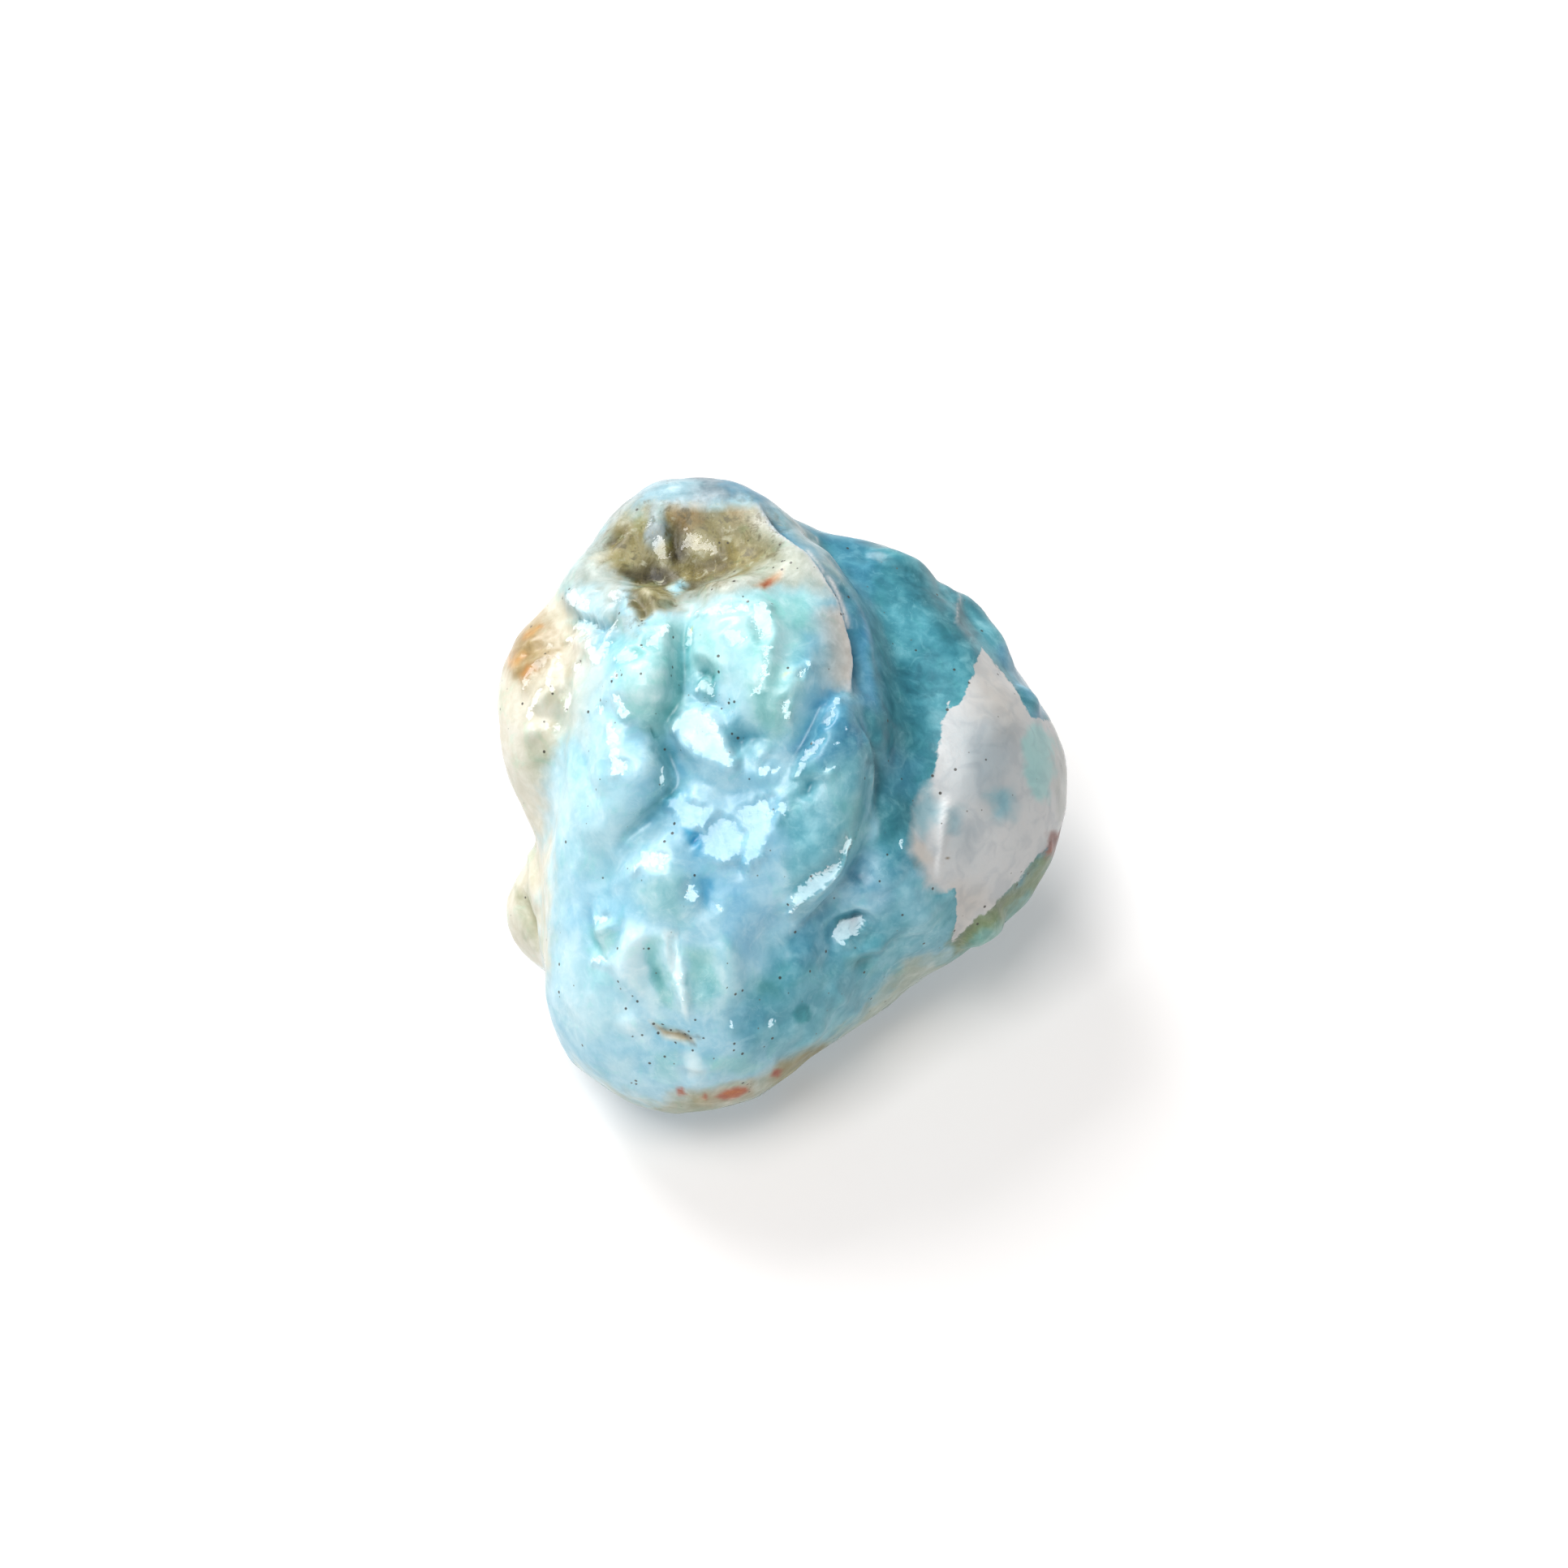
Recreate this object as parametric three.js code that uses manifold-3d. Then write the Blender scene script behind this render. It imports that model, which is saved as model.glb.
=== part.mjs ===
// A raw larimar nodule: one water-worn stone of massive blue pectolite, about the size of a walnut.
// It is a cluster of rounded lobes grown together: a long front lobe that runs from the crown down
// to the toe, a broad flank behind it on the right, and smaller knobs down the left side. The crown
// holds a shallow hollow, and a worn facet underneath lets the stone stand by itself.
//
// Frame: millimetres, +Z up, -Y is the front. The origin is on the facet that the stone rests on.

import * as THREE from "three";
import { mergeVertices } from "three/addons/utils/BufferGeometryUtils.js";
import Module from "manifold-3d";

const MIDDLE = new THREE.Vector3(0, 0, 11.5); // every ray of the surface starts here
const FARTHEST = 34; // no point of the stone is this far from MIDDLE
const RAY_STEPS = 90;
const STEP_SHARE = 0.7; // of the distance left, taken at each step so that no step overshoots
const CLOSE_ENOUGH = 1e-4;
const DETAIL = 18; // 20 * (DETAIL + 1)^2 triangles

const LOBE_BLEND = 3.2; // how softly the lobes run into each other
const DENT_BLEND = 2.4;
const FLAT_BLEND = 1.6; // rounding where the worn underside meets the sides
const STEPS_PER_KNOT = 6; // straight pieces of a relief path for each of its points
const RELIEF_REACH = 3; // widths from its path where a relief has faded to nothing

// Lobes: middle, half-sizes before turning, then the lean about X and the turn about Z, in degrees.
const LOBES = [
  { name: "core", at: [1.5, 1.5, 10], half: [12, 12.5, 13], lean: 0, turn: 0 },
  { name: "front lobe", at: [-2.5, -2.6, 13.4], half: [8.6, 14.2, 8.4], lean: 40, turn: 0 },
  { name: "crown", at: [-2.4, 9.2, 19.2], half: [6.6, 6.4, 5.8], lean: 40, turn: 0 },
  { name: "right shoulder", at: [2.0, 4.3, 19.6], half: [4.6, 6.2, 4.3], lean: 40, turn: 0 },
  { name: "toe", at: [-3.3, -9.4, 7.0], half: [7.3, 6.6, 6.8], lean: 40, turn: 0 },
  { name: "lower right", at: [2.2, -5.2, 6.5], half: [6.8, 5.6, 5.9], lean: 0, turn: 30 },
  { name: "right flank", at: [10.2, 2.8, 10.4], half: [8.0, 9.5, 8.8], lean: 30, turn: 0 },
  { name: "back", at: [6.0, 8.6, 12.6], half: [8.0, 7.5, 9.0], lean: 20, turn: -25 },
  { name: "left shoulder", at: [-9.6, 3.6, 15.6], half: [4.0, 5.8, 5.6], lean: 40, turn: 0 },
  { name: "left knob", at: [-10.2, -2.6, 5.2], half: [3.2, 3.0, 3.4], lean: 0, turn: 0 },
];

// Dents: rounded hollows worn into the lobes.
const DENTS = [
  { name: "crown hollow", at: [-2.4, 7.3, 27.4], half: [5.8, 3.6, 4.4], lean: 20, turn: 0 },
];

// Faces: old breaks, worn round at their edges. Each has a point on it and the way it looks.
const FACES = [
  { name: "upper right break", at: [13.1, 11.3, 15.7], looks: [0.75, 0.38, 0.55] },
];

// Relief: what stands out (rise > 0) or is worn in (rise < 0) along a path, in a rounded section.
const RELIEF = [
  {
    name: "saddle behind the ridge",
    path: [[5.4, 10, 21.4], [7.6, 7.6, 20.8], [8.9, 4.4, 20.3], [9.8, 0.2, 19.2], [9.9, -3.8, 17.6]],
    width: 2.0,
    rise: -1.5,
  },
  {
    name: "front valley",
    path: [[-2.1, -5, 22.3], [-1.2, -7.5, 20.6], [-1.2, -9.5, 18.8]],
    width: 2.6,
    rise: -0.9,
  },
  {
    name: "left front lump",
    path: [[-6.2, 2, 23.3], [-5.8, -1.5, 23.2]],
    width: 2.6,
    rise: 0.9,
  },
  {
    name: "right front lump",
    path: [[0.6, 1.5, 24.2], [2, -1.8, 23.4]],
    width: 2.6,
    rise: 0.8,
  },
  {
    name: "upper middle groove",
    path: [[-2.9, 2.5, 24.8], [-3, -1.4, 24], [-4.4, -4.2, 22.4]],
    width: 1.3,
    rise: -1.4,
  },
  {
    name: "lower middle groove",
    path: [[-4.4, -4.2, 22.4], [-3.6, -6.2, 21.4], [-5, -8, 19.6], [-7.6, -9.3, 16.8]],
    width: 1.3,
    rise: -1.1,
  },
  {
    name: "folded lobe",
    path: [[5.2, -2.5, 21.8], [5.6, -6, 19.8], [4.8, -8.2, 18.2]],
    width: 2.2,
    rise: 0.9,
  },
  {
    name: "fold under the lobe",
    path: [[7.3, -5, 19.4], [6.6, -7.6, 17.4], [4.4, -10.2, 15.6], [1.6, -12.2, 14.2]],
    width: 1.3,
    rise: -1.3,
  },
  {
    name: "lower pit",
    path: [[5.9, -10.1, 13.4]],
    width: 1.7,
    rise: -1.5,
  },
  {
    name: "brow over the pit",
    path: [[3.4, -10.8, 14.8], [5.1, -9.4, 15.6], [7, -8.9, 14.6], [8.2, -9.4, 12.2]],
    width: 1.2,
    rise: 0.6,
  },
  {
    name: "left valley",
    path: [[-9.8, 5.5, 21.6], [-10.6, 1, 20], [-10.7, -2.5, 18], [-11.5, -3.5, 14]],
    width: 1.6,
    rise: -1.2,
  },
  {
    name: "upper left lump",
    path: [[-8.6, 7.4, 21.6]],
    width: 2.0,
    rise: 0.9,
  },
  {
    name: "crown lip",
    path: [[-8.4, 8.2, 21.6], [-5.9, 4.4, 24], [-3.2, 3.3, 24.9], [-0.4, 4, 24.8], [2.6, 6.3, 23.6]],
    width: 1.6,
    rise: 0.7,
  },
  {
    name: "crown floor",
    path: [[-7, 7.6, 23.6], [-4.9, 5.9, 24.3], [-3, 4.9, 24.6]],
    width: 1.2,
    rise: -1.0,
  },
  {
    name: "toe knob",
    path: [[-1.9, -16.1, 8.7]],
    width: 1.3,
    rise: 0.6,
  },
  {
    name: "lower left lump",
    path: [[-5.4, -12.1, 14.8]],
    width: 1.6,
    rise: 0.6,
  },
  {
    name: "lower middle lump",
    path: [[-0.8, -13.4, 13.7]],
    width: 1.8,
    rise: 0.6,
  },
];

// The underside is worn nearly level, and one three-cornered facet of it stands proud and bears
// on the ground, so the stone sits on three points as a real one does.
const UNDERSIDE_HEIGHT = 0.15;
const FACET = { at: [1.3, 1.3], radius: 6.5, topRadius: 7.8, height: 1.0, turn: 100, corners: 3 };

const UNDERSIDE = new THREE.Plane(new THREE.Vector3(0, 0, -1), UNDERSIDE_HEIGHT);

function orient(blob) {
  const radians = THREE.MathUtils.degToRad;
  const turned = new THREE.Euler(radians(blob.lean), 0, radians(blob.turn), "ZXY");
  return {
    at: new THREE.Vector3(...blob.at),
    half: new THREE.Vector3(...blob.half),
    toBlob: new THREE.Quaternion().setFromEuler(turned).invert(),
  };
}

function facePlane(face) {
  const normal = new THREE.Vector3(...face.looks).normalize();
  return new THREE.Plane().setFromNormalAndCoplanarPoint(normal, new THREE.Vector3(...face.at));
}

// A relief's path as short straight pieces, with a ball round it outside which it has no effect.
function reliefOf({ path, width, rise }) {
  const knots = path.map((place) => new THREE.Vector3(...place));
  const points = knots.length > 1
    ? new THREE.CatmullRomCurve3(knots).getPoints(STEPS_PER_KNOT * knots.length)
    : [knots[0], knots[0]];
  const reach = new THREE.Sphere().setFromPoints(points);
  reach.radius += RELIEF_REACH * width;
  const pieces = points.slice(1).map((point, i) => new THREE.Line3(points[i], point));
  return { pieces, reach, width, rise };
}

const lobes = LOBES.map(orient);
const dents = DENTS.map(orient);
const faces = FACES.map(facePlane);
const reliefs = RELIEF.map(reliefOf);

// Distance to an ellipsoid, a close estimate near its surface: negative inside.
function ellipsoidDistance(point, blob) {
  const local = point.clone().sub(blob.at).applyQuaternion(blob.toBlob);
  const scaled = local.clone().divide(blob.half);
  const slope = scaled.clone().divide(blob.half);
  const reach = scaled.length();
  return (reach * (reach - 1)) / Math.max(slope.length(), 1e-9);
}

function smoothMin(a, b, blend) {
  const share = Math.max(blend - Math.abs(a - b), 0) / blend;
  return Math.min(a, b) - (share * share * blend) / 4;
}

const smoothMax = (a, b, blend) => -smoothMin(-a, -b, blend);

const nearest = new THREE.Vector3();

function reliefHeight(point) {
  let height = 0;
  for (const { pieces, reach, width, rise } of reliefs) {
    if (!reach.containsPoint(point)) continue;
    let away = Infinity;
    for (const piece of pieces) {
      piece.closestPointToPoint(point, true, nearest);
      away = Math.min(away, nearest.distanceToSquared(point));
    }
    height += rise * Math.exp(-away / (width * width));
  }
  return height;
}

function stoneDistance(point) {
  let distance = Infinity;
  for (const lobe of lobes) {
    distance = smoothMin(distance, ellipsoidDistance(point, lobe), LOBE_BLEND);
  }
  for (const dent of dents) {
    distance = smoothMax(distance, -ellipsoidDistance(point, dent), DENT_BLEND);
  }
  for (const face of faces) {
    distance = smoothMax(distance, face.distanceToPoint(point), DENT_BLEND);
  }
  distance -= reliefHeight(point);
  return smoothMax(distance, UNDERSIDE.distanceToPoint(point), FLAT_BLEND);
}

// Walks in from outside along one direction until it meets the stone.
function surfacePoint(direction) {
  let reach = FARTHEST;
  const point = new THREE.Vector3();
  for (let step = 0; step < RAY_STEPS; step += 1) {
    point.copy(direction).multiplyScalar(reach).add(MIDDLE);
    const distance = stoneDistance(point);
    if (distance < CLOSE_ENOUGH) break;
    reach -= distance * STEP_SHARE;
  }
  const below = UNDERSIDE_HEIGHT - point.z;
  if (below > 0) point.lerp(MIDDLE, below / (MIDDLE.z - point.z));
  return point;
}

// A geometry with its position alone, and each vertex held once.
function bareGeometry(geometry) {
  geometry.deleteAttribute("normal");
  geometry.deleteAttribute("uv");
  return mergeVertices(geometry);
}

function bodyGeometry() {
  const geometry = bareGeometry(new THREE.IcosahedronGeometry(1, DETAIL));
  const places = geometry.getAttribute("position");
  const direction = new THREE.Vector3();
  for (let i = 0; i < places.count; i += 1) {
    direction.fromBufferAttribute(places, i).normalize();
    places.setXYZ(i, ...surfacePoint(direction));
  }
  return geometry;
}

function facetGeometry() {
  const { at, radius, topRadius, height, turn, corners } = FACET;
  const geometry = new THREE.CylinderGeometry(topRadius, radius, height, corners);
  geometry.rotateX(Math.PI / 2);
  geometry.rotateZ(THREE.MathUtils.degToRad(turn));
  geometry.translate(...at, height / 2);
  return bareGeometry(geometry);
}

const wasm = await Module();
wasm.setup();

function solidOf(geometry) {
  return new wasm.Manifold(
    new wasm.Mesh({
      numProp: 3,
      vertProperties: geometry.getAttribute("position").array,
      triVerts: new Uint32Array(geometry.index.array),
    }),
  );
}

function geometryOf(solid) {
  const { vertProperties, triVerts } = solid.getMesh();
  const geometry = new THREE.BufferGeometry();
  geometry.setAttribute("position", new THREE.BufferAttribute(vertProperties, 3));
  geometry.setIndex(new THREE.BufferAttribute(triVerts, 1));
  geometry.computeVertexNormals();
  return geometry;
}

const larimar = new THREE.MeshStandardMaterial({ color: 0x7fc4dc, roughness: 0.12, metalness: 0 });
const shape = solidOf(bodyGeometry()).add(solidOf(facetGeometry()));
const stone = new THREE.Mesh(geometryOf(shape), larimar);
stone.name = "larimar_stone";

const object = new THREE.Group();
object.add(stone);

export default object;
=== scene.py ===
from math import cos, pi, radians, sin

import bpy
import numpy as np
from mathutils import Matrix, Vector, noise
from mathutils.bvhtree import BVHTree


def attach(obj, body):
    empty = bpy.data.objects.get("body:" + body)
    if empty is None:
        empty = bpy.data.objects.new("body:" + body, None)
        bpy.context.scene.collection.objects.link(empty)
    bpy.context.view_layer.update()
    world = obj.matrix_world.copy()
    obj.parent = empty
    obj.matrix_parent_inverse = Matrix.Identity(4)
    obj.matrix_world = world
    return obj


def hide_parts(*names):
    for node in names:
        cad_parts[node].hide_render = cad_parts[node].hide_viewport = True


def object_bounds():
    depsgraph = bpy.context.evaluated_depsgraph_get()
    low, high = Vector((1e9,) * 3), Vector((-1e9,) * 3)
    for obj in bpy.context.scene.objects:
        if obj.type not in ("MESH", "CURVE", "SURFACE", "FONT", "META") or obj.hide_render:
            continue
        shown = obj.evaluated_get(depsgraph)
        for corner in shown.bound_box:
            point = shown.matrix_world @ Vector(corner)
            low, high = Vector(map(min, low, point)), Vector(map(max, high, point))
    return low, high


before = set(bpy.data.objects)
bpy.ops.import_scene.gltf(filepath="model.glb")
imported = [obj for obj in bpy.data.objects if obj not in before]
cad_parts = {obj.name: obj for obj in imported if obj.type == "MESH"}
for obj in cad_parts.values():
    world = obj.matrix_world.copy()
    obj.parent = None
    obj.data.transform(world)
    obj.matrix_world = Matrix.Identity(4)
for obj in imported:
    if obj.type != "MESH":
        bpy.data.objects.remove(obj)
cad_low, cad_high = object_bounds()
MM = 0.001


# ---- Where the stone is seen from ----
# The camera looks down on the front of the stone through a long lens, from about a forearm away,
# so that the crown, the long front lobe and the right flank all show.

LOOK_DOWN = radians(50)
EYE_DISTANCE = 350 * MM
PICTURE_WIDTH = 86.94 * MM
SITS_LOW = 0.56 * MM  # how far the stone's middle lies below the picture's

across = Vector((1, 0, 0))
upward = Vector((0, sin(LOOK_DOWN), cos(LOOK_DOWN)))
outward = Vector((0, -cos(LOOK_DOWN), sin(LOOK_DOWN)))
look_at = (cad_low + cad_high) / 2 + upward * SITS_LOW
eye = look_at + outward * EYE_DISTANCE

camera = bpy.data.objects.new("camera", bpy.data.cameras.new("camera"))
camera.location = eye
camera.rotation_euler = (-outward).to_track_quat("-Z", "Y").to_euler()
camera.data.sensor_width = 36
camera.data.lens = camera.data.sensor_width * EYE_DISTANCE / PICTURE_WIDTH
camera.data.clip_start = 0.01
camera.data.clip_end = 10
bpy.context.scene.collection.objects.link(camera)
bpy.context.scene.camera = camera


# ---- The stone's skin ----
# One nodule of larimar, massive blue pectolite, worn round by water. An even net of small quads is
# drawn down onto the frame's solid, then relaxed until the solid's facets are gone.

NET_LEVEL = 7  # each side of the cube that the net starts as is cut in two this many times
RELAX_FACETS = 26
OUTSIDE = 50 * MM  # well clear of the solid
heart = Vector((0, 0, 0.45 * cad_high.z))

bpy.ops.mesh.primitive_cube_add(size=2)
net = bpy.context.object
cuts = net.modifiers.new("cuts", "SUBSURF")
cuts.subdivision_type = "SIMPLE"
cuts.levels = cuts.render_levels = NET_LEVEL
stone_mesh = bpy.data.meshes.new_from_object(net.evaluated_get(bpy.context.evaluated_depsgraph_get()))
bpy.data.objects.remove(net)


def corners_of(mesh):
    places = np.empty(len(mesh.vertices) * 3, np.float32)
    mesh.vertices.foreach_get("co", places)
    return places.reshape(-1, 3).astype(float)


def set_corners(mesh, places):
    mesh.vertices.foreach_set("co", places.astype(np.float32).ravel())
    mesh.update()


def normals_of(mesh):
    looks = np.empty(len(mesh.vertices) * 3, np.float32)
    mesh.vertices.foreach_get("normal", looks)
    return looks.reshape(-1, 3).astype(float)


edges = np.empty(len(stone_mesh.edges) * 2, np.int32)
stone_mesh.edges.foreach_get("vertices", edges)
edges = edges.reshape(-1, 2)
neighbours = np.bincount(edges.ravel(), minlength=len(stone_mesh.vertices))


def averaged(values):
    """Each corner's mean over its neighbours in the net."""
    near, far = edges[:, 0], edges[:, 1]
    total = np.bincount(near, values[far], len(values)) + np.bincount(far, values[near], len(values))
    return total / neighbours


def relaxed(values, times):
    """Numbers, or points, smoothed over the net."""
    columns = values.reshape(len(values), -1).copy()
    for _ in range(times):
        for i in range(columns.shape[1]):
            columns[:, i] = (columns[:, i] + averaged(columns[:, i])) / 2
    return columns.reshape(values.shape)


frame_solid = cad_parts["larimar_stone"].data
solid_tree = BVHTree.FromPolygons(
    [v.co for v in frame_solid.vertices], [tuple(p.vertices) for p in frame_solid.polygons]
)
rays = np.tan(corners_of(stone_mesh) * pi / 4)  # a cube's grid, warped so that its cells stay even on a ball
rays /= np.linalg.norm(rays, axis=1)[:, None]
skin = np.empty_like(rays)
for i, ray in enumerate(rays):
    direction = Vector(ray)
    skin[i] = solid_tree.ray_cast(heart + direction * OUTSIDE, -direction)[0]
skin = relaxed(skin, RELAX_FACETS)
set_corners(stone_mesh, skin)
skin_looks = normals_of(stone_mesh)


# ---- Laying out the relief ----
# Every feature of the worn surface is drawn in millimetres on a board that leans back over the front
# of the stone: how far across and how far up. It is then sighted through onto the skin.

BOARD_CENTRE = Vector((0, 0, 12.5 * MM))
skin_tree = BVHTree.FromPolygons(skin.tolist(), [tuple(p.vertices) for p in stone_mesh.polygons])
skin_mm = skin / MM


def sighted(x, y):
    """The point of the skin behind a point of the board, or None beside the stone."""
    line = BOARD_CENTRE + across * x * MM + upward * y * MM - eye
    return skin_tree.ray_cast(eye, line.normalized())[0]


def smooth_line(points, step=0.15):
    """Points every step along a smooth curve through the given ones."""
    before = 2 * np.array(points[0]) - points[1]
    beyond = 2 * np.array(points[-1]) - points[-2]
    knots = [before, *map(np.array, points), beyond]
    line = []
    for a, b, c, d in zip(knots, knots[1:], knots[2:], knots[3:]):
        count = max(2, int(np.linalg.norm(c - b) / step))
        for t in np.arange(count) / count:
            bend, twist = 2 * a - 5 * b + 4 * c - d, 3 * b - a - 3 * c + d
            line.append((2 * b + (c - a) * t + bend * t**2 + twist * t**3) / 2)
    line.append(knots[-2])
    return line


def brush(points, width, other_width=None, taper=0.3):
    """How strongly a stroke touches each corner, from 0 to 1.

    The stroke fades out over its width. With another width it is uneven: where it runs down the stone,
    the first is the fade on its right and the other the fade on its left. It thins out over the taper
    share of its length at each end.
    """
    other_width = width if other_width is None else other_width
    if len(points) == 1:
        line, taper = [np.array(points[0])], 0
    else:
        line = smooth_line(points)
    spots = [(spot, i) for i, spot in enumerate(sighted(*p) for p in line) if spot is not None]
    strength = np.zeros(len(skin_mm))
    if not spots:
        return strength
    places = np.array([spot for spot, i in spots]) / MM
    turns = np.array([i for spot, i in spots]) / max(1, len(line) - 1)
    reach = 3.2 * max(width, other_width)
    low, high = places.min(axis=0) - reach, places.max(axis=0) + reach
    close = np.flatnonzero(((skin_mm > low) & (skin_mm < high)).all(axis=1))
    gaps = np.linalg.norm(skin_mm[close][:, None] - places[None], axis=2)
    nearest = gaps.argmin(axis=1)
    gap = gaps[np.arange(len(close)), nearest]
    if len(places) > 1 and other_width != width:
        runs = np.gradient(places, axis=0)
        sides = np.cross(skin_looks[close], runs[nearest])
        first_side = ((skin_mm[close] - places[nearest]) * sides).sum(axis=1) > 0
        fade = np.where(first_side, width, other_width)
    else:
        fade = width
    strength[close] = np.exp(-((gap / fade) ** 2))
    if taper:
        t = turns[nearest]
        strength[close] *= np.clip(np.minimum(t, 1 - t) / taper, 0, 1) ** 0.7
    return strength


def on_board(places_mm, looks, turn=0, lean=LOOK_DOWN, far_off=False):
    """Where corners lie on a board that faces a viewer, and how squarely they face that viewer.

    The viewer is where the stone is seen from or, if far off, turned round it and leaning up from level.
    """
    side = np.array([cos(turn), sin(turn), 0])
    out = np.array([sin(turn) * cos(lean), -cos(turn) * cos(lean), sin(lean)])
    top = np.cross(out, side)
    offset = places_mm - np.array(BOARD_CENTRE) / MM
    if far_off:
        return offset @ side, offset @ top, looks @ out
    viewer = np.array(eye - BOARD_CENTRE) / MM
    sight = offset - viewer
    spot = viewer - sight * (viewer @ out / (sight @ out))[:, None]
    toward = -sight / np.linalg.norm(sight, axis=1)[:, None]
    return spot @ side, spot @ top, (looks * toward).sum(axis=1)


def inside(x, y, outline):
    """How far inside an outline each corner lies, in millimetres, negative outside."""
    away = np.full(len(x), 1e9)
    within = np.zeros(len(x), bool)
    for (x0, y0), (x1, y1) in zip(outline, outline[1:] + outline[:1]):
        dx, dy = x1 - x0, y1 - y0
        t = np.clip(((x - x0) * dx + (y - y0) * dy) / (dx * dx + dy * dy), 0, 1)
        away = np.minimum(away, np.hypot(x - x0 - t * dx, y - y0 - t * dy))
        crosses = (y0 > y) != (y1 > y)
        within ^= crosses & (x < x0 + dx * (y - y0) / (dy if dy else 1))
    return np.where(within, away, -away)


def eased(values, low, high):
    """0 below low, 1 above high, and a smooth climb between."""
    t = np.clip((values - low) / (high - low), 0, 1)
    return t * t * (3 - 2 * t)


def noise_at(places, kind, *settings):
    """One kind of noise at each of some places."""
    return np.array([kind(Vector(p), *settings) for p in places.tolist()])


relief = np.zeros(len(skin))
skin_x, skin_y, skin_facing = on_board(skin_mm, skin_looks)


def carve(strokes):
    """Each stroke's rise or, below 0, its depth; the width or two widths that it fades over; its line."""
    for rise, *widths, points in strokes:
        relief[:] += rise * brush(points, *widths)


# Broad lumps, grown against one another: each one's rise, how softly it ends, and its outline.
for rise, soften, outline in (
    # the two round lumps high on the front, the nose between them and the lobe down the left
    (0.8, 1.5, [(-3.3, 9.4), (-3.5, 5.2), (-5.2, 3.7), (-6.9, 5.4), (-7, 7), (-5.6, 9.4), (-4, 10)]),
    (0.85, 1.8, [
        (-3, 9.8), (-2.7, 7.4), (-1.2, 6.4), (-0.4, 4.4), (1.8, 3.5), (4.2, 5.4), (4.9, 8), (4.4, 10.4),
        (0.8, 11.2)
    ]),
    (0.8, 1.1, [(-4.1, 3.9), (-2.8, 5), (-1.6, 4.2), (-0.3, 2), (-0.6, 1.2), (-2, 1.2), (-3.4, 2.2)]),
    (0.6, 1.4, [
        (-5.4, 3.3), (-4.5, 1.6), (-4.6, 0.1), (-6.4, -1.8), (-7.2, -3), (-8.4, -2), (-8.4, 1), (-7.4, 4),
        (-6.2, 4)
    ]),
    # the folded lobe
    (0.5, 1.2, [
        (5.8, 5.6), (4.8, 5.1), (3.6, 2.4), (2.6, 0.6), (2.6, -1), (3.2, -3.6), (2.6, -6.4), (4.3, -5.5),
        (6.4, -2.9), (7.2, 0), (7.1, 3)
    ]),
    # the middle, either side of the small pit, and below it
    (0.35, 1, [(-4, -0.2), (-3, 0.6), (-1.6, 0.3), (-1.2, -1), (-2.2, -1.7), (-3.4, -1.7)]),
    (0.3, 1, [(-2, -1.4), (-0.9, -0.9), (0, -1.3), (0.2, -3), (-0.6, -3.9), (-1.8, -3.7), (-2.3, -2.8)]),
    (0.35, 1.1, [(-0.2, -0.4), (1.2, 0.2), (2.5, 0.2), (2.3, -1.4), (1.8, -3.4), (0.6, -4.3), (0.1, -2.8)]),
    (0.45, 1.3, [
        (-7, -3.4), (-5.6, -2.4), (-4.2, -2.1), (-2.6, -4.6), (-2.7, -6.2), (-4.6, -6.8), (-7.2, -5)
    ]),
    # the foot, and the lobes beside the lower pit
    (0.35, 1, [(2.6, -8.8), (5.6, -9.6), (6.6, -12), (3.6, -14), (0.4, -13.6), (0, -12), (1.6, -11)]),
    (0.4, 1.4, [(7, -4), (8.6, -3.6), (11.6, -5.2), (11.8, -7.6), (10.6, -8.6), (8.8, -8), (8.4, -6.2)]),
    # the wrinkled left shoulder
    (0.45, 0.7, [(-9.7, 11.2), (-8.6, 11.8), (-7.5, 10.9), (-8.2, 9.9), (-9.4, 10)]),
    (0.3, 0.7, [(-11.2, 8), (-9.9, 7.8), (-9.8, 6.4), (-10.4, 4.8), (-11.6, 4.6), (-11.8, 6.4)]),
):
    lump = eased(inside(skin_x, skin_y, outline), -0.6 * soften, soften)
    relief += rise * lump * eased(skin_facing, -0.1, 0.15)

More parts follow.
